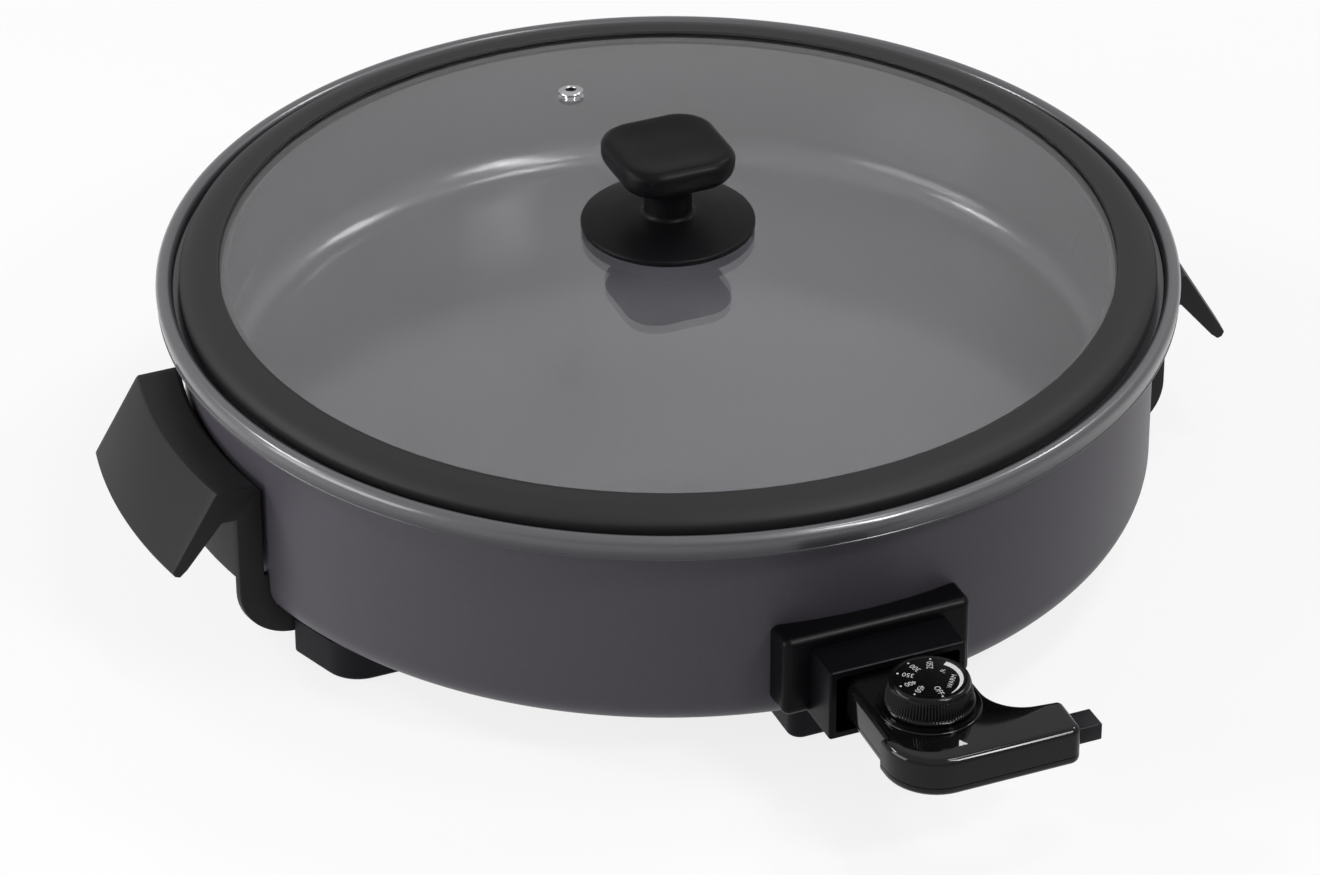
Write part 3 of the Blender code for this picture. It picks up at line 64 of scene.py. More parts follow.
class Facing(Enum):
    """Ways to turn a shape that is drawn upright."""

    UP = (0.0, 0.0, 0.0)
    TO_CONTROL = (math.pi / 2, 0.0, 0.0)
    TO_LEFT = (0.0, -math.pi / 2, 0.0)
    TO_RIGHT = (0.0, math.pi / 2, 0.0)


class Side(Enum):
    """The skillet's two sides, as the sign of their x."""

    LEFT = -1
    RIGHT = 1

    def facing(self) -> Corner:
        """Return the turn that points an upright shape outward on this side."""
        return (Facing.TO_LEFT if self is Side.LEFT else Facing.TO_RIGHT).value


class End(Enum):
    """The skillet's two ends, as the sign of their y; the control stands at the front."""

    FRONT = -1
    REAR = 1


class Signal:
    """One socket of a node graph, which can be used in Python sums."""

    def __init__(self, graph: "Graph", socket: bpy.types.NodeSocket) -> None:
        """Keep the graph and the socket that carries the value."""
        self.graph = graph
        self.socket = socket

    def _maths(self, operation: str, *values: "Signal | float") -> "Signal":
        """Add a Math node for an operation on values."""
        return self.graph.node("ShaderNodeMath", {"operation": operation}, dict(enumerate(values)))

    def __add__(self, other: "Signal | float") -> "Signal":
        """Return self + other."""
        return self._maths("ADD", self, other)

    __radd__ = __add__

    def __sub__(self, other: "Signal | float") -> "Signal":
        """Return self - other."""
        return self._maths("SUBTRACT", self, other)

    def __rsub__(self, other: "Signal | float") -> "Signal":
        """Return other - self."""
        return self._maths("SUBTRACT", other, self)

    def __mul__(self, other: "Signal | float") -> "Signal":
        """Return self * other."""
        return self._maths("MULTIPLY", self, other)

    __rmul__ = __mul__

    def over(self, edge: float, width: float) -> "Signal":
        """Return 0 below an edge and 1 above it, with a soft step of the given width.

        Args:
            edge: Value at the middle of the step.
            width: Width of the step.

        Returns:
            The stepped signal.
        """
        settings = {"interpolation_type": "SMOOTHSTEP"}
        inputs = {"Value": self, "From Min": edge - width / 2, "From Max": edge + width / 2}
        return self.graph.node("ShaderNodeMapRange", settings, inputs)

    def larger(self, other: "Signal | float") -> "Signal":
        """Return the larger of self and other."""
        return self._maths("MAXIMUM", self, other)


class Graph:
    """A node tree with short calls for the nodes that the finishes use."""

    def __init__(self, tree: bpy.types.NodeTree) -> None:
        """Take over a node tree and empty it."""
        self.tree = tree
        tree.nodes.clear()

    def node(self, kind: str, settings: dict | None = None, inputs: dict | None = None,
             output: int | str = 0) -> Signal:
        """Add a node, set its settings and then its inputs.

        Args:
            kind: The node's type.
            settings: Attributes of the node, such as a Math node's operation.
            inputs: Values or links by the socket's name or number.
            output: Name or number of the socket that is returned.

        Returns:
            The node's output as a signal.
        """
        made = self.tree.nodes.new(kind)
        for name, value in (settings or {}).items():
            setattr(made, name, value)
        for name, value in (inputs or {}).items():
            if isinstance(value, Signal):
                self.tree.links.new(value.socket, made.inputs[name])
            elif made.inputs[name].type == "RGBA" and len(value) == 3:
                made.inputs[name].default_value = (*value, 1)
            else:
                made.inputs[name].default_value = value
        return Signal(self, made.outputs[output])

    def places(self) -> Signal:
        """Return the object coordinates."""
        return self.node("ShaderNodeTexCoord", output="Object")

    def stretched(self, scale: Colour) -> Signal:
        """Return the object coordinates scaled along each axis."""
        return self.node("ShaderNodeMapping", {}, {"Vector": self.places(), "Scale": scale})

    def noise(self, scale: float, detail: float = 2.0, places: Signal | None = None) -> Signal:
        """Return a cloud pattern with values from 0 to 1."""
        inputs = {"Vector": places or self.places(), "Scale": scale, "Detail": detail}
        return self.node("ShaderNodeTexNoise", {}, inputs, "Fac")

    def height(self, places: Signal) -> Signal:
        """Return the z of coordinates."""
        return self.node("ShaderNodeSeparateXYZ", {}, {0: places}, 2)

    def ray(self, kind: str) -> Signal:
        """Return 1 for one kind of ray and 0 for the others."""
        return self.node("ShaderNodeLightPath", output=kind)

    def seen(self) -> Signal:
        """Return 1 for rays that see the backdrop: straight, mirrored or through glass."""
        mirrored, through = (self.ray(kind) for kind in ("Is Glossy Ray", "Is Transmission Ray"))
        return self.ray("Is Camera Ray").larger(mirrored).larger(through)

    def mixed(self, share: Signal | float, first: Signal | Colour, second: Signal | Colour) -> Signal:
        """Mix two colours by a share of the second."""
        inputs = {0: share, 6: first, 7: second}
        return self.node("ShaderNodeMix", {"data_type": "RGBA"}, inputs, 2)

    def bump(self, height: Signal, strength: float, distance: float) -> Signal:
        """Bend the normal to follow a height.

        Args:
            height: Height from 0 to 1.
            strength: Share of the full effect.
            distance: Real height in metres for a value of 1.

        Returns:
            The bumped normal.
        """
        inputs = {"Height": height, "Strength": strength, "Distance": distance}
        return self.node("ShaderNodeBump", {}, inputs)

    def principled(self, **inputs: Signal | float | Colour) -> Signal:
        """Add a Principled shader; underscores in the names stand for spaces."""
        named = {name.replace("_", " "): value for name, value in inputs.items()}
        return self.node("ShaderNodeBsdfPrincipled", {}, named)

    def surface(self, shader: Signal, kind: str = "ShaderNodeOutputMaterial") -> None:
        """End the graph in its output node."""
        self.tree.links.new(shader.socket, self.tree.nodes.new(kind).inputs["Surface"])


@dataclass(frozen=True)
class Finish:
    """A surface finish for one of the record's material slots.

    In each kind of finish a scale belongs to a cloud pattern, and its shades are the darkest and
    palest shares of the colour. A step is the middle and width of a soft edge, rough is how far a
    pattern sways the roughness, and strength and depth are those of its relief.
    """

    slot: str
    colour: Colour
    roughness: float

    def make(self) -> bpy.types.Material:
        """Build the finish's material.

        Returns:
            The material with its shader.
        """
        material = bpy.data.materials.new(self.slot + "_finish")
        material.use_nodes = True
        graph = Graph(material.node_tree)
        graph.surface(self.shader(graph))
        return material

    def shade(self, share: float) -> Colour:
        """Return the colour made darker or paler, and no paler than white."""
        return tuple(min(c * share, 1.0) for c in self.colour)

    def clouded(self, graph: Graph, cloud: Signal, dark: float, pale: float) -> Signal:
        """Return the colour as it varies with a cloud from a darker to a paler shade."""
        return graph.mixed(cloud, self.shade(dark), self.shade(pale))

    def shader(self, graph: Graph) -> Signal:
        """Return the finish's shader; each kind of finish gives its own."""
        raise NotImplementedError


@dataclass(frozen=True)
class SatinPaint(Finish):
    """Baked satin paint with a fine metallic fleck and a faint orange-peel."""

    cloud_scale: float = 7.0
    cloud_shades: Point = (0.94, 1.06)
    cloud_rough: float = 0.10
    fleck_scale: float = 2600.0
    fleck_step: Point = (0.68, 0.08)
    fleck_share: float = 0.5
    fleck_glint: float = 1.9
    fleck_rough: float = 0.06
    peel_scale: float = 420.0
    peel_strength: float = 0.10
    peel_depth: float = 0.00006
    shine: float = 0.20

    def shader(self, graph: Graph) -> Signal:
        """Return the paint's shader.

        Args:
            graph: The material's graph.

        Returns:
            The shader's output.
        """
        cloud = graph.noise(self.cloud_scale, 3)
        fleck = graph.noise(self.fleck_scale, 1).over(*self.fleck_step)
        base = self.clouded(graph, cloud, *self.cloud_shades)
        peel = graph.noise(self.peel_scale, 1)
        return graph.principled(
            Base_Color=graph.mixed(fleck * self.fleck_share, base, self.shade(self.fleck_glint)),
            Roughness=self.roughness + (cloud - 0.5) * self.cloud_rough + fleck * self.fleck_rough,
            Specular_IOR_Level=self.shine,
            Normal=graph.bump(peel, self.peel_strength, self.peel_depth))


@dataclass(frozen=True)
class CeramicCoat(Finish):
    """Sprayed ceramic coat with mineral specks and soft wipe marks, glossier on the rim and with painted
    light that makes the rim paler.
    """

    # Share by which the rim's colour is paler: painted light, for the light that falls on the rim while the
    # inside of the pan lies in shade under the glass.
    rim_painted_light_share: float = 1.7
    rim_roughness: float = 0.20
    rim_gloss: float = 0.6
    gloss_roughness: float = 0.12
    rim_edge: float = 0.004
    wipe_scale: float = 9.0
    wipe_shades: Point = (0.96, 1.04)
    wipe_rough: float = 0.06
    speck_scale: float = 1500.0
    speck_step: Point = (0.66, 0.10)
    speck_share: float = 0.14
    speck_glint: float = 1.25
    grain_scale: float = 800.0
    grain_strength: float = 0.02
    grain_depth: float = 0.00004
    shine: float = 0.42

    def shader(self, graph: Graph) -> Signal:
        """Return the coat's shader.

        Args:
            graph: The material's graph.

        Returns:
            The shader's output.
        """
        wiped = graph.noise(self.wipe_scale, 4)
        speck = graph.noise(self.speck_scale, 2).over(*self.speck_step)
        on_rim = graph.height(graph.places()).over(Datum.ledge_z, self.rim_edge)
        coat = self.clouded(graph, wiped, *self.wipe_shades)
        # Painted light: the rim gets a paler copy of the coat's colour, as if lit, while the inside keeps
        # the darker colour.
        base = graph.mixed(on_rim, coat, self.shade(self.rim_painted_light_share))
        grain = graph.noise(self.grain_scale, 2)
        return graph.principled(
            Base_Color=graph.mixed(speck * self.speck_share, base, self.shade(self.speck_glint)),
            Roughness=self.roughness + (wiped - 0.5) * self.wipe_rough + on_rim * self.rim_roughness,
            Coat_Weight=on_rim * self.rim_gloss, Coat_Roughness=self.gloss_roughness,
            Specular_IOR_Level=self.shine, Normal=graph.bump(grain, self.grain_strength, self.grain_depth))


@dataclass(frozen=True)
class MouldedPlastic(Finish):
    """Moulded plastic: spark-eroded grain, flow clouds and scuffs that catch the light."""

    grain_scale: float = 1500.0
    grain_depth: float = 0.00007
    shine: float = 0.12
    scuff: float = 0.25
    scuff_scale: float = 240.0
    scuff_run: Colour = (1.0, 0.15, 1.0)
    scuff_glint: float = 1.7
    scuff_step: Point = (0.66, 0.10)
    scuff_rough: float = 0.05
    cloud_scale: float = 28.0
    cloud_shades: Point = (0.9, 1.12)
    cloud_rough: float = 0.08
    grain_strength: float = 0.35

    def shader(self, graph: Graph) -> Signal:
        """Return the plastic's shader.

        Args:
            graph: The material's graph.

        Returns:
            The shader's output.
        """
        cloud = graph.noise(self.cloud_scale, 3)
        grain = graph.noise(self.grain_scale, 2)
        scuffs = graph.noise(self.scuff_scale, 4, graph.stretched(self.scuff_run))
        scuffs = scuffs.over(*self.scuff_step)
        base = self.clouded(graph, cloud, *self.cloud_shades)
        return graph.principled(
            Base_Color=graph.mixed(scuffs * self.scuff, base, self.shade(self.scuff_glint)),
            Roughness=self.roughness + (cloud - 0.5) * self.cloud_rough + scuffs * self.scuff_rough,
            Specular_IOR_Level=self.shine,
            Normal=graph.bump(grain, self.grain_strength, self.grain_depth))


@dataclass(frozen=True)
class PolishedPlastic(Finish):
    """Gloss-moulded plastic with hairline scratches and a little dust."""

    shine: float = 0.22
    hair_scale: float = 900.0
    hair_run: Colour = (0.04, 1.0, 1.0)
    hair_step: Point = (0.72, 0.06)
    hair_rough: float = 0.06
    dust_scale: float = 1900.0
    dust_step: Point = (0.76, 0.03)
    dust_share: float = 0.5
    dust_rough: float = 0.2
    dust: Colour = (0.05, 0.05, 0.05)
    ripple_scale: float = 45.0
    ripple_strength: float = 0.12
    ripple_depth: float = 0.00012

    def shader(self, graph: Graph) -> Signal:
        """Return the gloss plastic's shader.

        Args:
            graph: The material's graph.

        Returns:
            The shader's output.
        """
        hair = graph.noise(self.hair_scale, 3, graph.stretched(self.hair_run)).over(*self.hair_step)
        dust = graph.noise(self.dust_scale, 1).over(*self.dust_step)
        ripple = graph.noise(self.ripple_scale, 1)
        return graph.principled(
            Base_Color=graph.mixed(dust * self.dust_share, self.colour, self.dust),
            Roughness=self.roughness + hair * self.hair_rough + dust * self.dust_rough,
            Specular_IOR_Level=self.shine,
            Normal=graph.bump(ripple, self.ripple_strength, self.ripple_depth))


@dataclass(frozen=True)
class SiliconeRubber(Finish):
    """Satin silicone with a very fine tooth and a dusty bloom."""

    bloom_scale: float = 34.0
    bloom_shades: Point = (0.92, 1.10)
    bloom_rough: float = 0.10
    tooth_scale: float = 2200.0
    tooth_strength: float = 0.22
    tooth_depth: float = 0.00005
    shine: float = 0.14

    def shader(self, graph: Graph) -> Signal:
        """Return the rubber's shader.

        Args:
            graph: The material's graph.

        Returns:
            The shader's output.
        """
        bloom = graph.noise(self.bloom_scale, 4)
        tooth = graph.noise(self.tooth_scale, 2)
        return graph.principled(
            Base_Color=self.clouded(graph, bloom, *self.bloom_shades),
            Roughness=self.roughness + (bloom - 0.5) * self.bloom_rough,
            Specular_IOR_Level=self.shine,
            Normal=graph.bump(tooth, self.tooth_strength, self.tooth_depth))


@dataclass(frozen=True)
class LidGlass(Finish):
    """Clear tempered glass, slightly wavy, which lets the lamps light what is under it."""

    index: float = 1.46
    shine: float = 0.20
    wave_scale: float = 14.0
    wave_strength: float = 0.03
    wave_depth: float = 0.0004

    def shader(self, graph: Graph) -> Signal:
        """Return the glass's shader.

        Args:
            graph: The material's graph.

        Returns:
            The shader's output.
        """
        wave = graph.noise(self.wave_scale, 1)
        glass = graph.principled(
            Base_Color=self.colour, Roughness=self.roughness, IOR=self.index,
            Specular_IOR_Level=self.shine, Transmission_Weight=1.0,
            Normal=graph.bump(wave, self.wave_strength, self.wave_depth))
        clear = graph.node("ShaderNodeBsdfTransparent", {}, {"Color": self.colour})
        return graph.node("ShaderNodeMixShader", {}, {0: graph.ray("Is Shadow Ray"), 1: glass, 2: clear})


@dataclass(frozen=True)
class DrawnMetal(Finish):
    """Drawn or pressed metal with fine lines along one way and cloudy tarnish."""

    grain: Colour = (1.0, 1.0, 0.04)
    tarnish: Colour = (0.30, 0.28, 0.26)
    tarnish_share: float = 0.25
    line_scale: float = 1400.0
    line_rough: float = 0.14
    line_strength: float = 0.15
    line_depth: float = 0.00003
    cloud_scale: float = 60.0
    stain_step: Point = (0.55, 0.3)
    stain_rough: float = 0.3

    def shader(self, graph: Graph) -> Signal:
        """Return the metal's shader.

        Args:
            graph: The material's graph.

        Returns:
            The shader's output.
        """
        lines = graph.noise(self.line_scale, 2, graph.stretched(self.grain))
        cloud = graph.noise(self.cloud_scale, 4)
        stain = cloud.over(*self.stain_step) * self.tarnish_share
        return graph.principled(
            Base_Color=graph.mixed(stain, self.colour, self.tarnish),
            Roughness=self.roughness + (lines - 0.5) * self.line_rough + stain * self.stain_rough,
            Metallic=1.0, Normal=graph.bump(lines, self.line_strength, self.line_depth))


@dataclass(frozen=True)
class FiredCeramic(Finish):
    """Unglazed fired ceramic with dark specks."""

    speck_scale: float = 1300.0
    speck_step: Point = (0.68, 0.06)
    speck_shade: float = 0.5
    tooth_scale: float = 900.0
    tooth_rough: float = 0.2
    tooth_strength: float = 0.3
    tooth_depth: float = 0.00006

    def shader(self, graph: Graph) -> Signal:
        """Return the ceramic's shader.

        Args:
            graph: The material's graph.

        Returns:
            The shader's output.
        """
        speck = graph.noise(self.speck_scale, 1).over(*self.speck_step)
        tooth = graph.noise(self.tooth_scale, 3)
        return graph.principled(
            Base_Color=graph.mixed(speck, self.colour, self.shade(self.speck_shade)),
            Roughness=self.roughness + (tooth - 0.5) * self.tooth_rough,
            Normal=graph.bump(tooth, self.tooth_strength, self.tooth_depth))


@dataclass(frozen=True)
class PrintedInk(Finish):
    """Pad-printed white ink, a little thin in places."""

    thin: Colour = (0.42, 0.42, 0.43)
    cover_scale: float = 2400.0
    cover_step: Point = (0.40, 0.3)
    thin_rough: float = 0.1
    shine: float = 0.3

    def shader(self, graph: Graph) -> Signal:
        """Return the ink's shader.

        Args:
            graph: The material's graph.

        Returns:
            The shader's output.
        """
        cover = graph.noise(self.cover_scale, 2).over(*self.cover_step)
        return graph.principled(
            Base_Color=graph.mixed(cover, self.thin, self.colour),
            Roughness=self.roughness + (1 - cover) * self.thin_rough, Specular_IOR_Level=self.shine)


FINISHES = {
    "body_paint": SatinPaint("body_paint", (0.052, 0.047, 0.058), 0.42),
    "pan_coat": CeramicCoat("pan_coat", (0.035, 0.035, 0.039), 0.17),
    "handle_plastic": MouldedPlastic("handle_plastic", (0.015, 0.015, 0.016), 0.46),
    "foot_plastic": MouldedPlastic("handle_plastic", (0.0085, 0.0075, 0.0100), 0.46, shine=0.08),
    "socket_plastic": MouldedPlastic("socket_plastic", (0.003, 0.003, 0.004), 0.34,
                                     grain_scale=2200.0, grain_depth=0.00004, shine=0.07, scuff=0.1),
    "stub_plastic": MouldedPlastic("socket_plastic", (0.0110, 0.0100, 0.0125), 0.36,
                                   grain_scale=2200.0, grain_depth=0.00004, scuff=0.1),
    "control_plastic": PolishedPlastic("control_plastic", (0.003, 0.003, 0.003), 0.07),
    "dial_plastic": PolishedPlastic("dial_plastic", (0.003, 0.003, 0.003), 0.12, shine=0.16),
    "knob_plastic": MouldedPlastic("knob_plastic", (0.0035, 0.0035, 0.0042), 0.40,
                                   grain_scale=1900.0, grain_depth=0.00005, shine=0.07, scuff=0.15),
    "ring_rubber": SiliconeRubber("ring_rubber", (0.0195, 0.0195, 0.0205), 0.52),
    "glass": LidGlass("glass", (0.93, 0.93, 0.94), 0.0),
    "bright_steel": DrawnMetal("bright_steel", (0.66, 0.65, 0.63), 0.18, grain=(1.0, 1.0, 0.05),
                               tarnish=(0.4, 0.38, 0.36), tarnish_share=0.1),
    "vent_steel": DrawnMetal("bright_steel", (0.42, 0.42, 0.43), 0.14, grain=(1.0, 1.0, 0.05),
                             tarnish=(0.2, 0.19, 0.19), tarnish_share=0.6),
    "zinc_steel": DrawnMetal("zinc_steel", (0.52, 0.53, 0.55), 0.36, grain=(1.0, 0.05, 1.0),
                             tarnish=(0.34, 0.34, 0.36), tarnish_share=0.4),
    "heater_steel": DrawnMetal("heater_steel", (0.26, 0.25, 0.24), 0.42, grain=(1.0, 1.0, 1.0),
                               tarnish=(0.16, 0.11, 0.09), tarnish_share=0.8),
    "ceramic": FiredCeramic("ceramic", (0.74, 0.71, 0.64), 0.55),
    "brass": DrawnMetal("brass", (0.62, 0.45, 0.18), 0.28, grain=(1.0, 0.05, 1.0),
                        tarnish=(0.35, 0.22, 0.10), tarnish_share=0.3),
    "print": PrintedInk("dial_plastic", (0.66, 0.66, 0.66), 0.5),
}


@dataclass(frozen=True)
class Datum:
    """Sizes that several sub-assemblies share.

    Attributes:
        seat: Gap between pieces that rest on each other.
        past: How far a cutter reaches past what it cuts.
        least_round: Smallest radius of a rounded corner that moves in.
        on_axis: Radius under which a point of a turned shape is on its axis.
        steps: Sides of the large rounds.
        sharp: Angle in degrees above which an edge stays sharp.
    """

    pan_y: float = 0.03625
    wall_r: float = 0.1743
    wall_low: float = 0.0149
    wall_skin: float = 0.0012
    wall_corner: float = 0.0135
    rim_top: float = 0.099
    rim_r: float = 0.183
    ledge_z: float = 0.0945
    ledge_r: float = 0.168
    probe_z: float = 0.0376
    seat: float = 0.0003
    past: float = 0.004
    least_round: float = 0.0002
    on_axis: float = 1e-9
    steps: int = 224
    sharp: float = 32.0


class Shape:
    """Makes the meshes that the sub-assemblies are built from."""

    @staticmethod
    def arc(centre: Point, radius: float, start: float, end: float, steps: int = 10) -> list[Point]:
        """Draw an arc.

        Args:
            centre: The arc's centre.
            radius: The arc's radius.
            start: Angle of the first point in degrees.
            end: Angle of the last point in degrees.
            steps: Steps from the first point to the last.

        Returns:
            The arc's points, both ends included.
        """
        turns = [math.radians(start + (end - start) * step / steps) for step in range(steps + 1)]
        return [(centre[0] + radius * math.cos(t), centre[1] + radius * math.sin(t)) for t in turns]

    @staticmethod
    def outline(corners: list[Corner], steps: int = 10) -> list[Point]:
        """Turn corners given as (x, y, radius) into one outline with arcs.

        Args:
            corners: Corners in order, each with the radius of its rounding.
            steps: Steps of each arc.

        Returns:
            The outline's points.
        """
        points = []
        for place, (x, y, radius) in enumerate(corners):
            here = Vector((x, y))
            if radius == 0:
                points.append((x, y))
                continue
            back = (Vector(corners[place - 1][:2]) - here).normalized()
            ahead = (Vector(corners[(place + 1) % len(corners)][:2]) - here).normalized()
            half = back.angle(ahead) / 2
            middle = here + (back + ahead).normalized() * radius / math.sin(half)
            first = here + back * radius / math.tan(half) - middle
            last = here + ahead * radius / math.tan(half) - middle
            turn = math.atan2(first.x * last.y - first.y * last.x, first.dot(last))
            for step in range(steps + 1):
                cos, sin = math.cos(turn * step / steps), math.sin(turn * step / steps)
                points.append((middle.x + first.x * cos - first.y * sin,
                               middle.y + first.x * sin + first.y * cos))
        return points

    @staticmethod
    def moved_in(corners: list[Corner], distance: float) -> list[Corner]:
        """Move the sides of a counter-clockwise shape inward and fit its corner radii.

        Args:
            corners: Corners in order, each with the radius of its rounding.
            distance: How far each side moves.

        Returns:
            The moved corners.
        """
        moved = []
        for place, (x, y, radius) in enumerate(corners):
            here = Vector((x, y))
            before = (here - Vector(corners[place - 1][:2])).normalized()
            after = (Vector(corners[(place + 1) % len(corners)][:2]) - here).normalized()
            spread = 1 + before.dot(after)
            push = Vector((before.y + after.y, -before.x - after.x)) * -distance / spread
            if radius:
                turn = before.x * after.y - before.y * after.x
                radius = max(radius - distance * math.copysign(1, turn), Datum.least_round)
            moved.append((x + push.x, y + push.y, radius))
        return moved

    @staticmethod
    def closed(bm: bmesh.types.BMesh, name: str) -> bpy.types.Mesh:
        """Turn a bmesh into a mesh whose faces point out.

        Args:
            bm: The bmesh, which is used up.
            name: The mesh's name.

        Returns:
            The mesh.
        """
        bmesh.ops.recalc_face_normals(bm, faces=bm.faces)
        mesh = bpy.data.meshes.new(name)
        bm.to_mesh(mesh)
        bm.free()
        return mesh

    @classmethod
    def turned(cls, name: str, profile: list[Point], steps: int = Datum.steps) -> bpy.types.Mesh:
        """Spin a profile of (radius, height) points about Z.

        Args:
            name: The mesh's name.
            profile: Points in order; one that starts on the axis ends there.
            steps: Sides of the round.

        Returns:
            The closed mesh.
        """
        bm = bmesh.new()
        turns = [2 * math.pi * k / steps for k in range(steps)]
        around = [(math.cos(turn), math.sin(turn)) for turn in turns]
        rows = []
        for r, z in profile:
            ring = [(r * c, r * s, z) for c, s in around] if r > Datum.on_axis else [(0, 0, z)]
            rows.append([bm.verts.new(point) for point in ring])
        pairs = list(zip(rows, rows[1:]))
        if profile[0][0] > Datum.on_axis:
            pairs.append((rows[-1], rows[0]))
        for low, high in pairs:
            if len(low) == len(high) == 1:
                continue
            for k in range(steps):
                after = (k + 1) % steps
                face = [low[k % len(low)], low[after % len(low)],
                        high[after % len(high)], high[k % len(high)]]
                bm.faces.new(list(dict.fromkeys(face)))
        return cls.closed(bm, name)

    @classmethod
    def lofted(cls, name: str, rings: list[list[Corner]]) -> bpy.types.Mesh:
        """Skin rings one after another and cap both ends.

        Args:
            name: The mesh's name.
            rings: Rings of points, all with the same count.

        Returns:
            The closed mesh.
        """
        bm = bmesh.new()
        loops = [[bm.verts.new(point) for point in ring] for ring in rings]
        for low, high in zip(loops, loops[1:]):
            for k in range(len(low)):
                after = (k + 1) % len(low)
                bm.faces.new((low[k], low[after], high[after], high[k]))
        bm.faces.new(loops[0][::-1])
        bm.faces.new(loops[-1])
        return cls.closed(bm, name)

    @classmethod
    def plate(cls, name: str, corners: list[Corner], layers: list[Point],
              steps: int = 10) -> bpy.types.Mesh:
        """Stack a shape in layers.

        Args:
            name: The mesh's name.
            corners: The shape's corners, each with the radius of its rounding.
            layers: Inset and height of each layer.
            steps: Steps of each corner's arc.

        Returns:
            The closed mesh.
        """
        rings = []
        for inset, z in layers:
            outline = cls.outline(cls.moved_in(corners, inset), steps)
            rings.append([(x, y, z) for x, y in outline])
        return cls.lofted(name, rings)

    @staticmethod
    def layers(low: float, high: float, top_round: float, low_round: float = 0.0,
               steps: int = 6) -> list[Point]:
        """Work out the layers of a plate with rounded edges.

        Args:
            low: Height of the lower face.
            high: Height of the upper face.
            top_round: Radius of the upper edge.
            low_round: Radius of the lower edge.
            steps: Steps of each rounding.

        Returns:
            Inset and height of each layer.
        """
        turns = [math.pi / 2 * step / steps for step in range(steps + 1)]
        under = [(low_round * (1 - math.sin(t)), low + low_round * (1 - math.cos(t))) for t in turns]
        over = [(top_round * (1 - math.cos(t)), high - top_round * (1 - math.sin(t))) for t in turns]
        return (under if low_round else [(0, low)]) + (over if top_round else [(0, high)])

    @staticmethod
    def rod(radius: float, low: float, high: float) -> list[Point]:
        """Return the profile of a plain rod between two heights."""
        return [(0, low), (radius, low), (radius, high), (0, high)]

    @staticmethod
    def rectangle(half: Point, middle: Point = (0.0, 0.0)) -> list[Point]:
        """Return the corners of a rectangle, counter-clockwise, from half its width and height."""
        return [(middle[0] + x * half[0], middle[1] + y * half[1])
                for x, y in ((-1, -1), (1, -1), (1, 1), (-1, 1))]

    @staticmethod
    def upright(half: float, low: float, high: float, radius: float) -> list[Corner]:
        """Return the corners of an upright rectangle seen along Y."""
        return [(-half, low, radius), (half, low, radius), (half, high, radius), (-half, high, radius)]

    @staticmethod
    def set_at(mesh: bpy.types.Mesh, at: Corner, facing: Corner = Facing.UP.value) -> bpy.types.Mesh:
        """Turn a mesh, then move it, and return it."""
        mesh.transform(Matrix.Translation(at) @ Euler(facing).to_matrix().to_4x4())
        return mesh

    @classmethod
    def pin(cls, radius: float, reach: Point, steps: int, at: Corner,
            facing: Corner = Facing.UP.value) -> bpy.types.Mesh:
        """Make a plain rod in its place.

        Args:
            radius: The rod's radius.
            reach: Where the rod starts and ends along its own axis.
            steps: Sides of the round.
            at: Place of its axis.
            facing: Turn of the rod before it is placed.

        Returns:
            The placed mesh.
        """
        return cls.set_at(cls.turned("pin", cls.rod(radius, *reach), steps), at, facing)


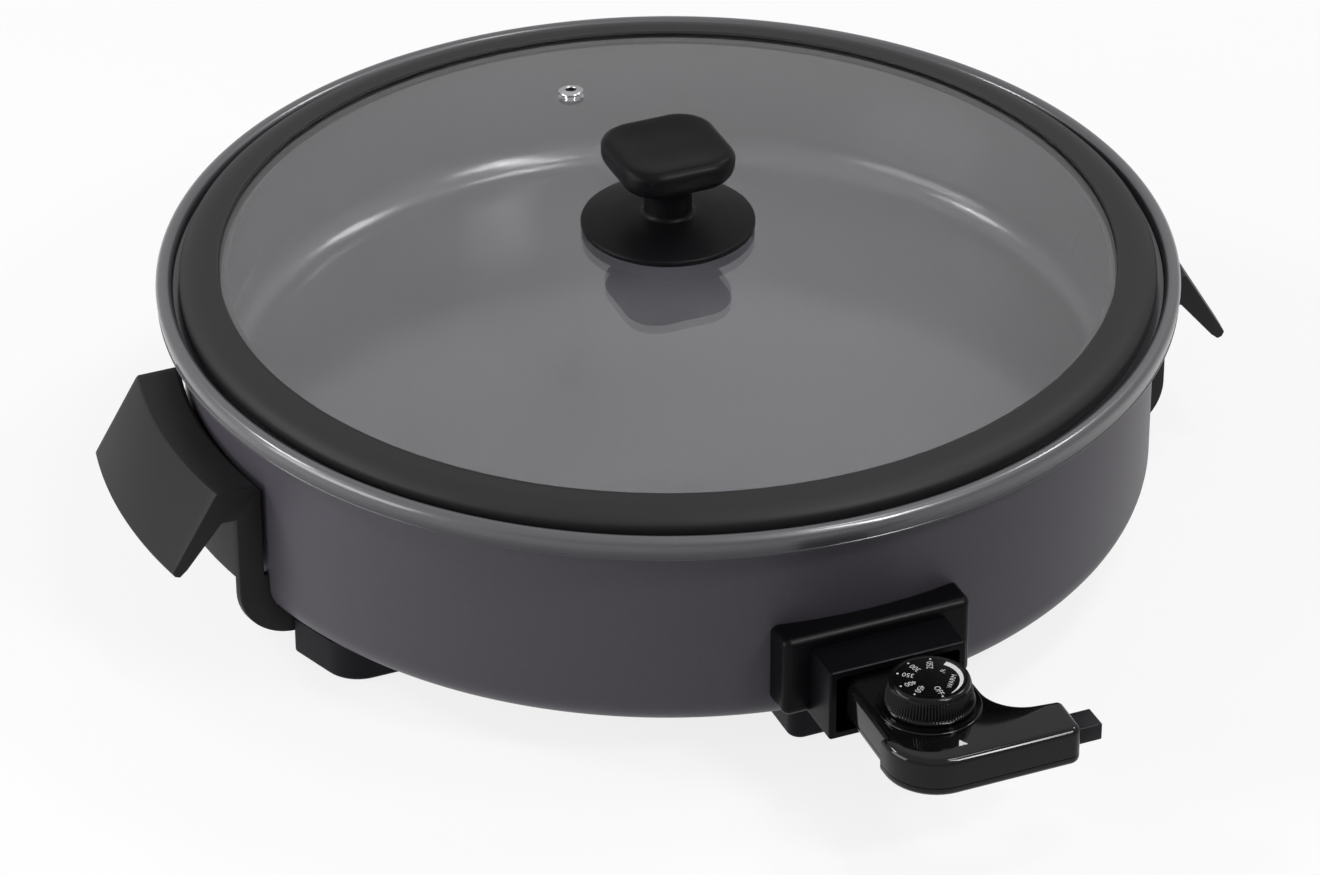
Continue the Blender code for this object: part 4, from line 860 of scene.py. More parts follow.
class Workshop:
    """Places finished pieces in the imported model's frame."""

    def __init__(self) -> None:
        """Make every finish once."""
        self.materials = {name: finish.make() for name, finish in FINISHES.items()}
        self.count = 0

    def place(self, mesh: bpy.types.Mesh, name: str, body: Body, finish: str,
              stands_for: tuple[str, ...] = (), at: Corner = (0, 0, 0),
              facing: Corner = Facing.UP.value, sharp: float = Datum.sharp) -> bpy.types.Object:
        """Put a mesh in place as a piece that rides on a body.

        Args:
            mesh: The mesh, drawn about the pan's axis or about its own.
            name: The piece's name.
            body: The body it rides on.
            finish: Name of its finish.
            stands_for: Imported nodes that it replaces.
            at: Its place from the pan's axis and the table.
            facing: Turn of the mesh before it is placed.
            sharp: Angle in degrees above which an edge stays sharp.

        Returns:
            The placed piece.
        """
        Shape.set_at(mesh, at, facing)
        Shape.set_at(mesh, (0, Datum.pan_y, 0))
        mesh.shade_smooth()
        mesh.set_sharp_from_angle(angle=math.radians(sharp))
        mesh.materials.append(self.materials[finish])
        piece = bpy.data.objects.new(name, mesh)
        bpy.context.scene.collection.objects.link(piece)
        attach(piece, body.value)
        if stands_for:
            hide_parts(*stands_for)
        self.count += 1
        LOG.info("%s: %d faces, rides on %s", name, len(mesh.polygons), body.value)
        return piece

    def cut(self, piece: bpy.types.Object, meshes: list[bpy.types.Mesh], join: bool = False) -> None:
        """Cut meshes out of a piece, or join them to it, all in one step.

        Args:
            piece: The piece that changes.
            meshes: Shapes in the pan's frame, which stand apart from each other.
            join: Whether the shapes are added instead of cut away.
        """
        bm = bmesh.new()
        for mesh in meshes:
            bm.from_mesh(mesh)
        whole = Shape.set_at(Shape.closed(bm, "tool"), (0, Datum.pan_y, 0))
        tool = bpy.data.objects.new("tool", whole)
        bpy.context.scene.collection.objects.link(tool)
        change = piece.modifiers.new("cut", "BOOLEAN")
        change.operation = "UNION" if join else "DIFFERENCE"
        change.solver = "EXACT"
        change.object = tool
        self.bake(piece)
        bpy.data.objects.remove(tool)

    def bake(self, piece: bpy.types.Object) -> None:
        """Apply a piece's modifiers to its mesh.

        Args:
            piece: The piece that changes.
        """
        bpy.context.view_layer.update()
        evaluated = piece.evaluated_get(bpy.context.evaluated_depsgraph_get())
        mesh = bpy.data.meshes.new_from_object(evaluated)
        piece.modifiers.clear()
        mesh.materials.clear()
        mesh.materials.append(piece.data.materials[0])
        piece.data = mesh
        mesh.shade_smooth()
        mesh.set_sharp_from_angle(angle=math.radians(Datum.sharp))

    def soften(self, piece: bpy.types.Object, width: float, angle: float = 40.0) -> None:
        """Round a piece's sharp edges.

        Args:
            piece: The piece that changes.
            width: Width of the rounding.
            angle: Angle in degrees above which an edge is rounded.
        """
        bevel = piece.modifiers.new("soften", "BEVEL")
        bevel.width = width
        bevel.segments = 3
        bevel.limit_method = "ANGLE"
        bevel.angle_limit = math.radians(angle)
        bevel.harden_normals = False
        self.bake(piece)

    def dress(self, finish: str, *nodes: str) -> None:
        """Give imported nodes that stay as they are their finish."""
        for name in nodes:
            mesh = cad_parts[name].data
            mesh.materials.clear()
            mesh.materials.append(self.materials[finish])
            LOG.info("%s: kept from the packed model", name)


@dataclass
class Assembly:
    """A sub-assembly, whose pieces the workshop places."""

    shop: Workshop

    def build(self) -> None:
        """Make the sub-assembly's pieces; each kind of sub-assembly gives its own."""
        raise NotImplementedError


@dataclass
class Pan(Assembly):
    """Painted body with its coated pan, heater and reflector."""

    rim_band: float = 0.0057
    rim_roll: float = 0.008
    floor_z: float = 0.044
    floor_r: float = 0.1655
    skin: float = 0.0025
    corner: float = 0.014
    corner_steps: int = 14
    ledge_round: float = 0.0008
    band_round: float = 0.0006
    roll_in: tuple[Point, ...] = ((0.0001, 0.0036), (0.0003, 0.0022), (0.0005, 0.0011))
    lip_in: float = 0.0007
    lip_round: float = 0.0004
    hole_y: float = 0.026
    hole_z: float = 0.0545
    hole_r: float = 0.0019
    hole_reach: Point = (0.165, 0.180)
    window_half: float = 0.0203
    window_low: float = 0.0305
    window_top: float = 0.0447
    window_round: float = 0.0025
    window_reach: Point = (0.150, 0.180)

    def build(self) -> None:
        """Make the body and the pan, and dress what is inside."""
        self.body_wall()
        self.cooking_pan()
        self.shop.dress("heater_steel", "heating_element")
        self.shop.dress("zinc_steel", "heat_reflector", "reflector_pillar_1", "reflector_pillar_2",
                        "reflector_pillar_3", "terminal_pin_left", "terminal_pin_right")
        self.shop.dress("ceramic", "terminal_bead_left", "terminal_bead_right")

    def body_wall(self) -> None:
        """Make the painted body with its window and screw holes."""
        low, top = Datum.wall_low, Datum.ledge_z - self.skin - Datum.seat
        bend, skin, steps = Datum.wall_corner, Datum.wall_skin, self.corner_steps
        centre = (Datum.wall_r - bend, low + bend)
        profile = [(0, low), *Shape.arc(centre, bend, -90, 0, steps), (Datum.wall_r, top)]
        profile += [(Datum.wall_r - skin, top), *Shape.arc(centre, bend - skin, 0, -90, steps)]
        profile += [(0, low + skin)]
        wall = self.shop.place(Shape.turned("body_wall", profile), "body_wall", Body.BASE, "body_paint",
                               ("outer_shell",))
        opening = Shape.upright(self.window_half, self.window_low, self.window_top, self.window_round)
        window = Shape.plate("window", opening, [(0, reach) for reach in self.window_reach], 4)
        holes = [Shape.set_at(window, (0, 0, 0), Facing.TO_CONTROL.value)]
        for side in Side:
            for y in (-self.hole_y, self.hole_y):
                holes.append(Shape.pin(self.hole_r, self.hole_reach, 24, (0, y, self.hole_z),
                                       side.facing()))
        self.shop.cut(wall, holes)

    def cooking_pan(self) -> None:
        """Make the coated pan with its rolled rim, ledge and filleted floor."""
        roll = self.rim_band / 2
        centre = (self.floor_r - self.corner, self.floor_z + self.corner)
        ledge, ledge_r, rim_r = Datum.ledge_z, Datum.ledge_r, Datum.rim_r
        bend, band = self.ledge_round, self.band_round
        profile = [(0, self.floor_z), *Shape.arc(centre, self.corner, -90, 0, self.corner_steps)]
        profile += Shape.arc((ledge_r + bend, ledge - bend), bend, 180, 90, 4)
        profile += Shape.arc((rim_r - self.rim_band - band, ledge + band), band, -90, 0, 4)
        profile += Shape.arc((rim_r - roll, Datum.rim_top - roll), roll, 180, 0, 14)
        low = Datum.rim_top - self.rim_roll
        profile += [(rim_r - inset, low + up) for inset, up in self.roll_in]
        profile += Shape.arc((rim_r - self.lip_in, low + self.lip_round), self.lip_round, 60, -90, 6)
        skirt = rim_r - self.skin / 2
        profile += [(skirt, low), (skirt, ledge - self.skin), (ledge_r + self.skin, ledge - self.skin)]
        profile += Shape.arc(centre, self.corner + self.skin, 0, -90, self.corner_steps)
        profile += [(0, self.floor_z - self.skin)]
        self.shop.place(Shape.turned("pan", profile), "cooking_pan", Body.BASE, "pan_coat", ("inner_pan",))


@dataclass
class Handles(Assembly):
    """Two side handles that hook under the body, with their screws.

    Radii count from the pan's axis. Plate and leg are the thicknesses of the top and of the wall
    panel, tip is the width of the grip's lower edge, and root is where the bend under the top
    starts, out from the panel.
    """

    half: float = 0.0425
    in_r: float = 0.176
    leg: float = 0.0089
    top_z: float = 0.0715
    top_r: float = 0.1923
    plate: float = 0.0123
    tip_r: float = 0.2085
    tip_z: float = 0.0415
    tip: float = 0.0052
    root: float = 0.0054
    wall: float = 0.003
    sole: float = 0.0067
    reach_r: float = 0.148
    panel_low: float = 0.034
    hook_start: float = -84.0
    boss_r: float = 0.0045
    softening: float = 0.0007
    sharp: float = 40.0
    between: int = 18

    def build(self) -> None:
        """Make both handles and dress their screws."""
        boss_low = math.sqrt((Datum.wall_r + Datum.seat) ** 2 - (Pan.hole_y - self.boss_r) ** 2)
        reach = (boss_low, self.in_r + self.leg / 2)
        for side in Side:
            word = side.name.lower()
            grip = self.shop.place(self.skin(side), "side_handle_" + word, Body.BASE, "handle_plastic",
                                   ("handle_" + word,), sharp=self.sharp)
            self.shop.soften(grip, self.softening)
            self.shop.cut(grip, [Shape.pin(self.boss_r, reach, 32, (0, y, Pan.hole_z), side.facing())
                                 for y in (-Pan.hole_y, Pan.hole_y)], join=True)
        self.shop.dress("zinc_steel", *("handle_screw_%d" % number for number in (1, 2, 3, 4)))

    def section(self) -> list[Point]:
        """Work out the section of grip, top plate and wall panel.

        Returns:
            The section as (radius, height) points.
        """
        edge, under = self.tip / 3, self.top_z - self.plate
        leg_r = self.in_r + self.leg
        return [
            (self.in_r, self.top_z - edge), (self.in_r + edge, self.top_z),
            (self.top_r - edge / 2, self.top_z), (self.top_r, self.top_z - edge / 2),
            (self.tip_r, self.tip_z + edge), (self.tip_r - edge / 2, self.tip_z),
            (self.tip_r - self.tip / 2, self.tip_z - edge / 3),
            (self.tip_r - self.tip, self.tip_z + edge), (leg_r + self.root, under), (leg_r, under),
            (leg_r, self.panel_low), (self.in_r, self.panel_low),
        ]

    def hook(self) -> list[Point]:
        """Work out the line of an end wall round under the body and back.

        Returns:
            The line as (radius, height) points.
        """
        low, corner = Datum.wall_low, Datum.wall_corner
        sole = low - Datum.seat - self.sole
        bend = corner + self.sole - Datum.seat
        points = Shape.arc((self.in_r + self.leg - bend, sole + bend), bend, 0, -90, 12)
        points += [(self.reach_r, sole), (self.reach_r, low - Datum.seat)]
        near = Datum.seat / 4
        points += Shape.arc((Datum.wall_r - corner, low + corner), corner + near, self.hook_start, 0, 10)
        points.append((Datum.wall_r + near, self.panel_low - near))
        return points

    def skin(self, side: Side) -> bpy.types.Mesh:
        """Skin one handle, swept round the pan, with a thin wall at each end.

        Args:
            side: The handle's side.

        Returns:
            The handle's mesh.
        """
        bm = bmesh.new()
        section, hook = self.section(), self.hook()
        inside = self.half - self.wall
        shares = (2 * k / self.between - 1 for k in range(self.between + 1))
        stations = [-self.half, *(inside * share for share in shares), self.half]

        def row(points: list[Point], y: float) -> list[bmesh.types.BMVert]:
            """Add one row of points at a place along the handle."""
            return [bm.verts.new((side.value * math.sqrt(r * r - y * y), y, z)) for r, z in points]

        loops = [row(section, y) for y in stations]
        last = len(stations) - 2
        for number in range(last + 1):
            here, there = loops[number:number + 2]
            for k in range(len(section)):
                if k == len(section) - 2 and number in (0, last):
                    continue
                after = (k + 1) % len(section)
                bm.faces.new((here[k], here[after], there[after], there[k]))
        for number in (0, last):
            rows = [[loops[n][-2], *row(hook, stations[n]), loops[n][-1]] for n in (number, number + 1)]
            for k in range(len(hook) + 1):
                bm.faces.new((rows[0][k], rows[0][k + 1], rows[1][k + 1], rows[1][k]))
            for hook_row in rows:
                bm.faces.new(hook_row)
        bm.faces.new(loops[0])
        bm.faces.new(loops[-1])
        return Shape.closed(bm, "handle")


@dataclass
class Feet(Assembly):
    """Six moulded feet with flat soles."""

    reach_r: float = 0.1675
    depth: float = 0.036
    width: float = 0.028
    round_r: float = 0.014
    sole_round: float = 0.00175
    end_reach: float = 0.1625
    end_half: float = 0.0225
    end_round: float = 0.005

    def build(self) -> None:
        """Make the four corner feet and the two end feet."""
        layers = Shape.layers(0, Datum.wall_low - Datum.seat, 0, self.sole_round, 5)
        feet = {"%s_%s" % (side.name.lower(), end.name.lower()): self.corner_foot(side, end)
                for side in Side for end in End}
        feet |= {end.name.lower(): self.end_foot(end) for end in End}
        for name, corners in feet.items():
            self.shop.place(Shape.plate("foot", corners, layers), "sole_" + name, Body.BASE, "foot_plastic",
                            ("foot_" + name,))

    def corner_foot(self, side: Side, end: End) -> list[Corner]:
        """Work out the corners of a foot beside one end of a handle.

        Args:
            side: The foot's side.
            end: The end of the handle that it stands at.

        Returns:
            The corners, counter-clockwise.
        """
        near = Handles.half + Datum.seat
        far = near + self.width
        out_near, out_far = (math.sqrt(self.reach_r ** 2 - y ** 2) for y in (near, far))
        back = out_far - self.depth + self.round_r / 2
        corners = [(back, near, self.sole_round), (out_near, near, self.sole_round),
                   (out_far, far, self.round_r), (back, far, self.round_r / 2)]
        placed = [(side.value * x, end.value * y, radius) for x, y, radius in corners]
        return placed[::-1] if side.value * end.value < 0 else placed

    def end_foot(self, end: End) -> list[Corner]:
        """Work out the corners of the wide foot at the front or the back.

        Args:
            end: The end that it stands at.

        Returns:
            The corners, counter-clockwise.
        """
        near, far = end.value * self.end_reach, end.value * (self.end_reach - self.depth)
        half = self.end_half
        places = ((-half, near), (half, near), (half, far), (-half, far))
        corners = [(x, y, self.end_round) for x, y in places]
        return corners[::-1] if end is End.REAR else corners


@dataclass
class Socket(Assembly):
    """Socket moulding that takes the control."""

    flange_half: float = 0.0348
    flange_top: float = 0.0572
    flange_low: float = 0.0262
    flange_back: float = 0.1608
    flange_front: float = 0.183
    flange_round: float = 0.003
    box_half: float = 0.0253
    box_top: float = 0.0523
    box_low: float = 0.0251
    box_front: float = 0.199
    wall: float = 0.0025
    floor_y: float = 0.1765
    pin_x: float = 0.012
    pin_hole_r: float = 0.0027
    probe_hole_r: float = 0.0043
    hole_reach: Point = (0.163, 0.1965)
    screw_x: float = 0.0295
    screw_r: float = 0.0017
    screw_reach: Point = (0.163, 0.17865)

    def build(self) -> None:
        """Make the moulding and dress what is fixed to it."""
        flange = Shape.upright(self.flange_half, self.flange_low, self.flange_top, self.flange_round)
        layers = Shape.layers(self.flange_back, self.flange_front, self.flange_round, 0, 8)
        piece = self.shop.place(Shape.plate("flange", flange, layers, 8), "control_socket", Body.BASE,
                                "socket_plastic", ("socket_housing",), facing=Facing.TO_CONTROL.value)
        box = Shape.upright(self.box_half, self.box_low, self.box_top, self.wall / 2)
        layers = Shape.layers(self.flange_front - self.flange_round, self.box_front, self.wall / 3, 0, 4)
        self.shop.cut(piece, [self.toward(Shape.plate("box", box, layers, 6))], join=True)
        self.shop.cut(piece, [Shape.turned("seat", Shape.rod(Datum.wall_r + Datum.seat, 0, Datum.rim_top))])
        inner = Shape.upright(self.box_half - self.wall, self.box_low + self.wall,
                              self.box_top - self.wall, self.wall / 2)
        layers = [(0, self.floor_y), (0, self.box_front + Datum.past)]
        self.shop.cut(piece, [self.toward(Shape.plate("hollow", inner, layers, 6))])
        self.shop.cut(piece, self.holes())
        self.shop.dress("zinc_steel", "socket_bracket", "socket_screw_1", "socket_screw_2", "probe_guide")

    def holes(self) -> list[bpy.types.Mesh]:
        """Make the cutters for the pins, the probe and the screws.

        Returns:
            The cutters, in place.
        """
        pin, screw = (self.pin_hole_r, self.hole_reach, 32), (self.screw_r, self.screw_reach, 24)
        probe = (self.probe_hole_r, self.hole_reach, 32)
        places = ((-self.pin_x, pin), (self.pin_x, pin), (0, probe), (-self.screw_x, screw),
                  (self.screw_x, screw))
        return [Shape.pin(*sizes, (x, 0, Datum.probe_z), Facing.TO_CONTROL.value) for x, sizes in places]

    @staticmethod
    def toward(mesh: bpy.types.Mesh) -> bpy.types.Mesh:
        """Turn a mesh toward the control and return it."""
        return Shape.set_at(mesh, (0, 0, 0), Facing.TO_CONTROL.value)


@dataclass
class Lid(Assembly):
    """Domed glass lid with its ring and vent.

    The ring's upper line is given in groups of points: roll and brow climb over its inner lip,
    crest and shoulder run outward, slope passes the glass's edge, and brim ends at ring_r.
    The vent's roll is the place and radius of its mouth's rounding, as shares of half its lip.
    """

    ring_r: float = 0.1745
    eye_r: float = 0.1602
    ring_height: float = 0.0034
    lip: float = 0.0014
    lower_lip: float = 0.0030
    roll: tuple[Point, ...] = ((0.0, 0.0), (0.0001, 0.45), (lip / 3, 0.8))
    brow: tuple[Point, ...] = ((0.62, 0.14), (1.0, 0.2))
    crest: Point = (0.0053, 0.0002)
    shoulder: Point = (0.0088, 0.0016)
    slope: tuple[Point, ...] = ((0.0010, 0.0008), (0.0026, -0.0003))
    brim: tuple[Point, ...] = ((0.0004, 0.0013), (0.0, 0.0022))
    heel: float = 0.0002
    edge_r: float = 0.1705
    skin: float = 0.004
    rise: float = 0.0145
    rows: int = 24
    hole_r: float = 0.0045
    vent_x: float = 0.008
    vent_y: float = 0.1115
    bore_r: float = 0.0019
    tube_r: float = 0.003
    lip_r: float = 0.0047
    vent_lip: float = 0.0007
    vent_roll: Corner = (1.6, 0.9, 1.5)
    sharp: float = 50.0

    def dome_r(self) -> float:
        """Return the radius of the glass's dome."""
        sag = self.rise - self.ring_height
        return (self.eye_r ** 2 + sag ** 2) / (2 * sag)

    def height(self, radius: float) -> float:
        """Return the height of the glass's upper face at a radius."""
        dome = self.dome_r()
        return Datum.rim_top + self.rise - dome + math.sqrt(dome ** 2 - radius ** 2)

    def build(self) -> None:
        """Make the glass, the ring and the vent."""
        self.pane()
        self.ring()
        self.vent()

    def vent_frame(self) -> dict[str, Corner]:
        """Return the vent's place and turn, square to the dome."""
        at = (self.vent_x, self.vent_y, self.height(math.hypot(self.vent_x, self.vent_y)))
        return {"at": at, "facing": (-self.vent_y / self.dome_r(), self.vent_x / self.dome_r(), 0)}

    def pane(self) -> None:
        """Make the domed glass with its two holes."""
        bevel = self.skin / 5
        width = self.edge_r - bevel - self.hole_r
        radii = [self.hole_r + width * k / self.rows for k in range(self.rows + 1)]
        upper = [(r, self.height(r)) for r in radii]
        edge = self.height(self.edge_r)
        sides = [(self.edge_r, edge - bevel), (self.edge_r, edge - self.skin + bevel)]
        lower = [(r, z - self.skin) for r, z in reversed(upper)]
        piece = self.shop.place(Shape.turned("pane", upper + sides + lower), "glass_pane", Body.LID, "glass",
                                ("lid_glass",))
        reach = (-2 * self.skin, self.skin)
        self.shop.cut(piece, [Shape.pin(self.tube_r + Datum.seat, reach, 48, **self.vent_frame())])

    def vent(self) -> None:
        """Make the steel eyelet clinched over the glass."""
        over = Datum.seat + self.vent_lip
        under = -self.skin - Datum.seat
        curl = self.vent_lip / 2
        out, up, radius = (curl * share for share in self.vent_roll)
        profile = [(self.bore_r, under - self.vent_lip), (self.lip_r - curl, under - self.vent_lip),
                   (self.lip_r, under), (self.tube_r, under), (self.tube_r, Datum.seat),
                   (self.lip_r, Datum.seat), *Shape.arc((self.lip_r - curl, Datum.seat), curl, 0, 60, 4),
                   (self.lip_r - self.vent_lip, over),
                   *Shape.arc((self.bore_r + out, over - up), radius, 90, 180, 6)]
        self.shop.place(Shape.turned("vent", profile, 64), "vent_rivet", Body.LID, "vent_steel",
                        ("vent_eyelet",), sharp=self.sharp, **self.vent_frame())

    def ring(self) -> None:
        """Make the flexible ring that grips the glass and sits on the pan's ledge."""
        lip, eye, edge, seat = self.lip, self.eye_r, self.edge_r, Datum.seat
        over_eye, over_edge = self.height(eye) + seat, self.height(edge) + seat
        under_eye, under_edge = over_eye - self.skin - 2 * seat, over_edge - self.skin - 2 * seat
        eye_top = Datum.rim_top + self.ring_height + lip
        foot = Datum.ledge_z + seat
        profile = [(eye + out, over_eye + lip * up) for out, up in self.roll]
        profile += [(eye + lip * out, eye_top - lip * down) for out, down in self.brow]
        profile += [(eye + self.crest[0], eye_top - self.crest[1])]
        profile += [(eye + self.shoulder[0], over_edge + self.shoulder[1])]
        profile += [(edge + out, over_edge + up) for out, up in self.slope]
        profile += [(self.ring_r - inset, over_edge - down) for inset, down in self.brim]
        profile += [(self.ring_r, foot + lip / 2), (self.ring_r - lip / 2, foot),
                    (Datum.ledge_r + lip, foot), (eye + lip, under_eye - lip)]
        under = eye - self.lower_lip
        profile += [(under + lip / 3, under_eye - lip * 0.8), (under, under_eye - lip / 2),
                    (under, under_eye + self.heel), (eye, under_eye), (edge + seat, under_edge),
                    (edge + seat, over_edge)]
        self.shop.place(Shape.turned("ring", profile), "rim_ring", Body.LID, "ring_rubber", ("lid_ring",),
                        sharp=self.sharp)


@dataclass
class Knob(Assembly):
    """Knob on a flared stem, with its washers and screw.

    Belly and bowl are shares of the cap's half width and of its height or its dish's depth;
    flare is shares of how far the neck widens, outward and down.
    """

    low: float = 0.1138
    bore_r: float = 0.0025
    disc_r: float = 0.0312
    disc_edge: float = 0.0025
    cone: float = 0.0032
    fillet: float = 0.6
    fillet_up: float = 0.7
    sweep: tuple[float, ...] = (0.2, 0.4, 0.6, 0.8)
    sweep_power: float = 1.15
    neck_r: float = 0.0086
    neck_top_r: float = 0.0105
    flare: tuple[Point, ...] = ((0.1, 3.0), (1 / 3, 2.0), (0.62, 1.1))
    width: float = 0.0424
    corner: float = 0.0125
    height: float = 0.0126
    top: float = 0.1466
    dish: float = 0.0009
    belly: tuple[Point, ...] = ((0.42, 0.0), (0.30, 0.035), (0.21, 0.08), (0.13, 0.15),
                                (0.075, 0.24), (0.03, 0.37), (0.008, 0.5))
    bowl: tuple[Point, ...] = ((0.24, 0.12), (0.34, 0.4), (0.45, 0.7), (0.6, 0.9), (0.8, 1.0),
                               (0.94, 1.0))
    edge_steps: int = 10
    stem_sharp: float = 50.0
    cap_sharp: float = 60.0

    def build(self) -> None:
        """Make the stem and the cap and dress what is under them."""
        self.stem()
        self.cap()
        self.shop.dress("ring_rubber", "lid_gasket")
        self.shop.dress("bright_steel", "lid_washer", "lid_screw")

    def stem(self) -> None:
        """Make the stem: a shallow cone that sweeps up into the neck."""
        cap_low = self.top - self.height
        disc_top = self.low + self.disc_edge
        waist = disc_top + self.cone
        round_r = self.disc_edge / 3
        rim = self.disc_r - round_r
        profile = [(0, cap_low - self.cone), (self.bore_r, cap_low - self.cone), (self.bore_r, self.low)]
        profile += Shape.arc((rim, self.low + round_r), round_r, -90, 0, 4)
        profile += Shape.arc((rim, disc_top - round_r), round_r, 0, 80, 4)
        fillet = self.cone * self.fillet
        width, rise = self.neck_r + fillet - rim, waist - fillet * (1 - self.fillet_up) - disc_top
        profile += [(rim + width * share,
                     disc_top + rise * math.sin(math.pi / 2 * share) ** self.sweep_power)
                    for share in self.sweep]
        bend = (self.neck_r + fillet, waist + fillet * self.fillet_up)
        profile += Shape.arc(bend, fillet, 262, 185, 12)
        profile += [(self.neck_r, (waist + cap_low) / 2)]
        wider = self.neck_top_r - self.neck_r
        profile += [(self.neck_r + wider * out, cap_low - wider * down) for out, down in self.flare]
        profile += [(self.neck_top_r, cap_low - Datum.seat), (0, cap_low - Datum.seat)]
        self.shop.place(Shape.turned("stem", profile, 96), "knob_foot", Body.LID, "knob_plastic",
                        ("knob_stem",), sharp=self.stem_sharp)

    def cap(self) -> None:
        """Make the soft square cap with its belly, rolled edge and shallow dish."""
        half = self.width / 2
        low = self.top - self.height
        square = Shape.outline([(x, y, self.corner) for x, y in Shape.rectangle((half, half))], 14)
        edge = self.height / 4
        turns = [math.pi / 2 * step / self.edge_steps for step in range(self.edge_steps + 1)]
        layers = [(half * inset, low + self.height * share) for inset, share in self.belly]
        layers += [(edge * (1 - math.cos(t)), self.top - edge * (1 - math.sin(t))) for t in turns]
        layers += [(half * inset, self.top - self.dish * share) for inset, share in self.bowl]
        rings = []
        for inset, z in layers:
            share = 1 - inset / half
            rings.append([(x * share, y * share, z) for x, y in square])
        self.shop.place(Shape.lofted("cap", rings), "knob_grip", Body.LID, "knob_plastic", ("knob_cap",),
                        sharp=self.cap_sharp)


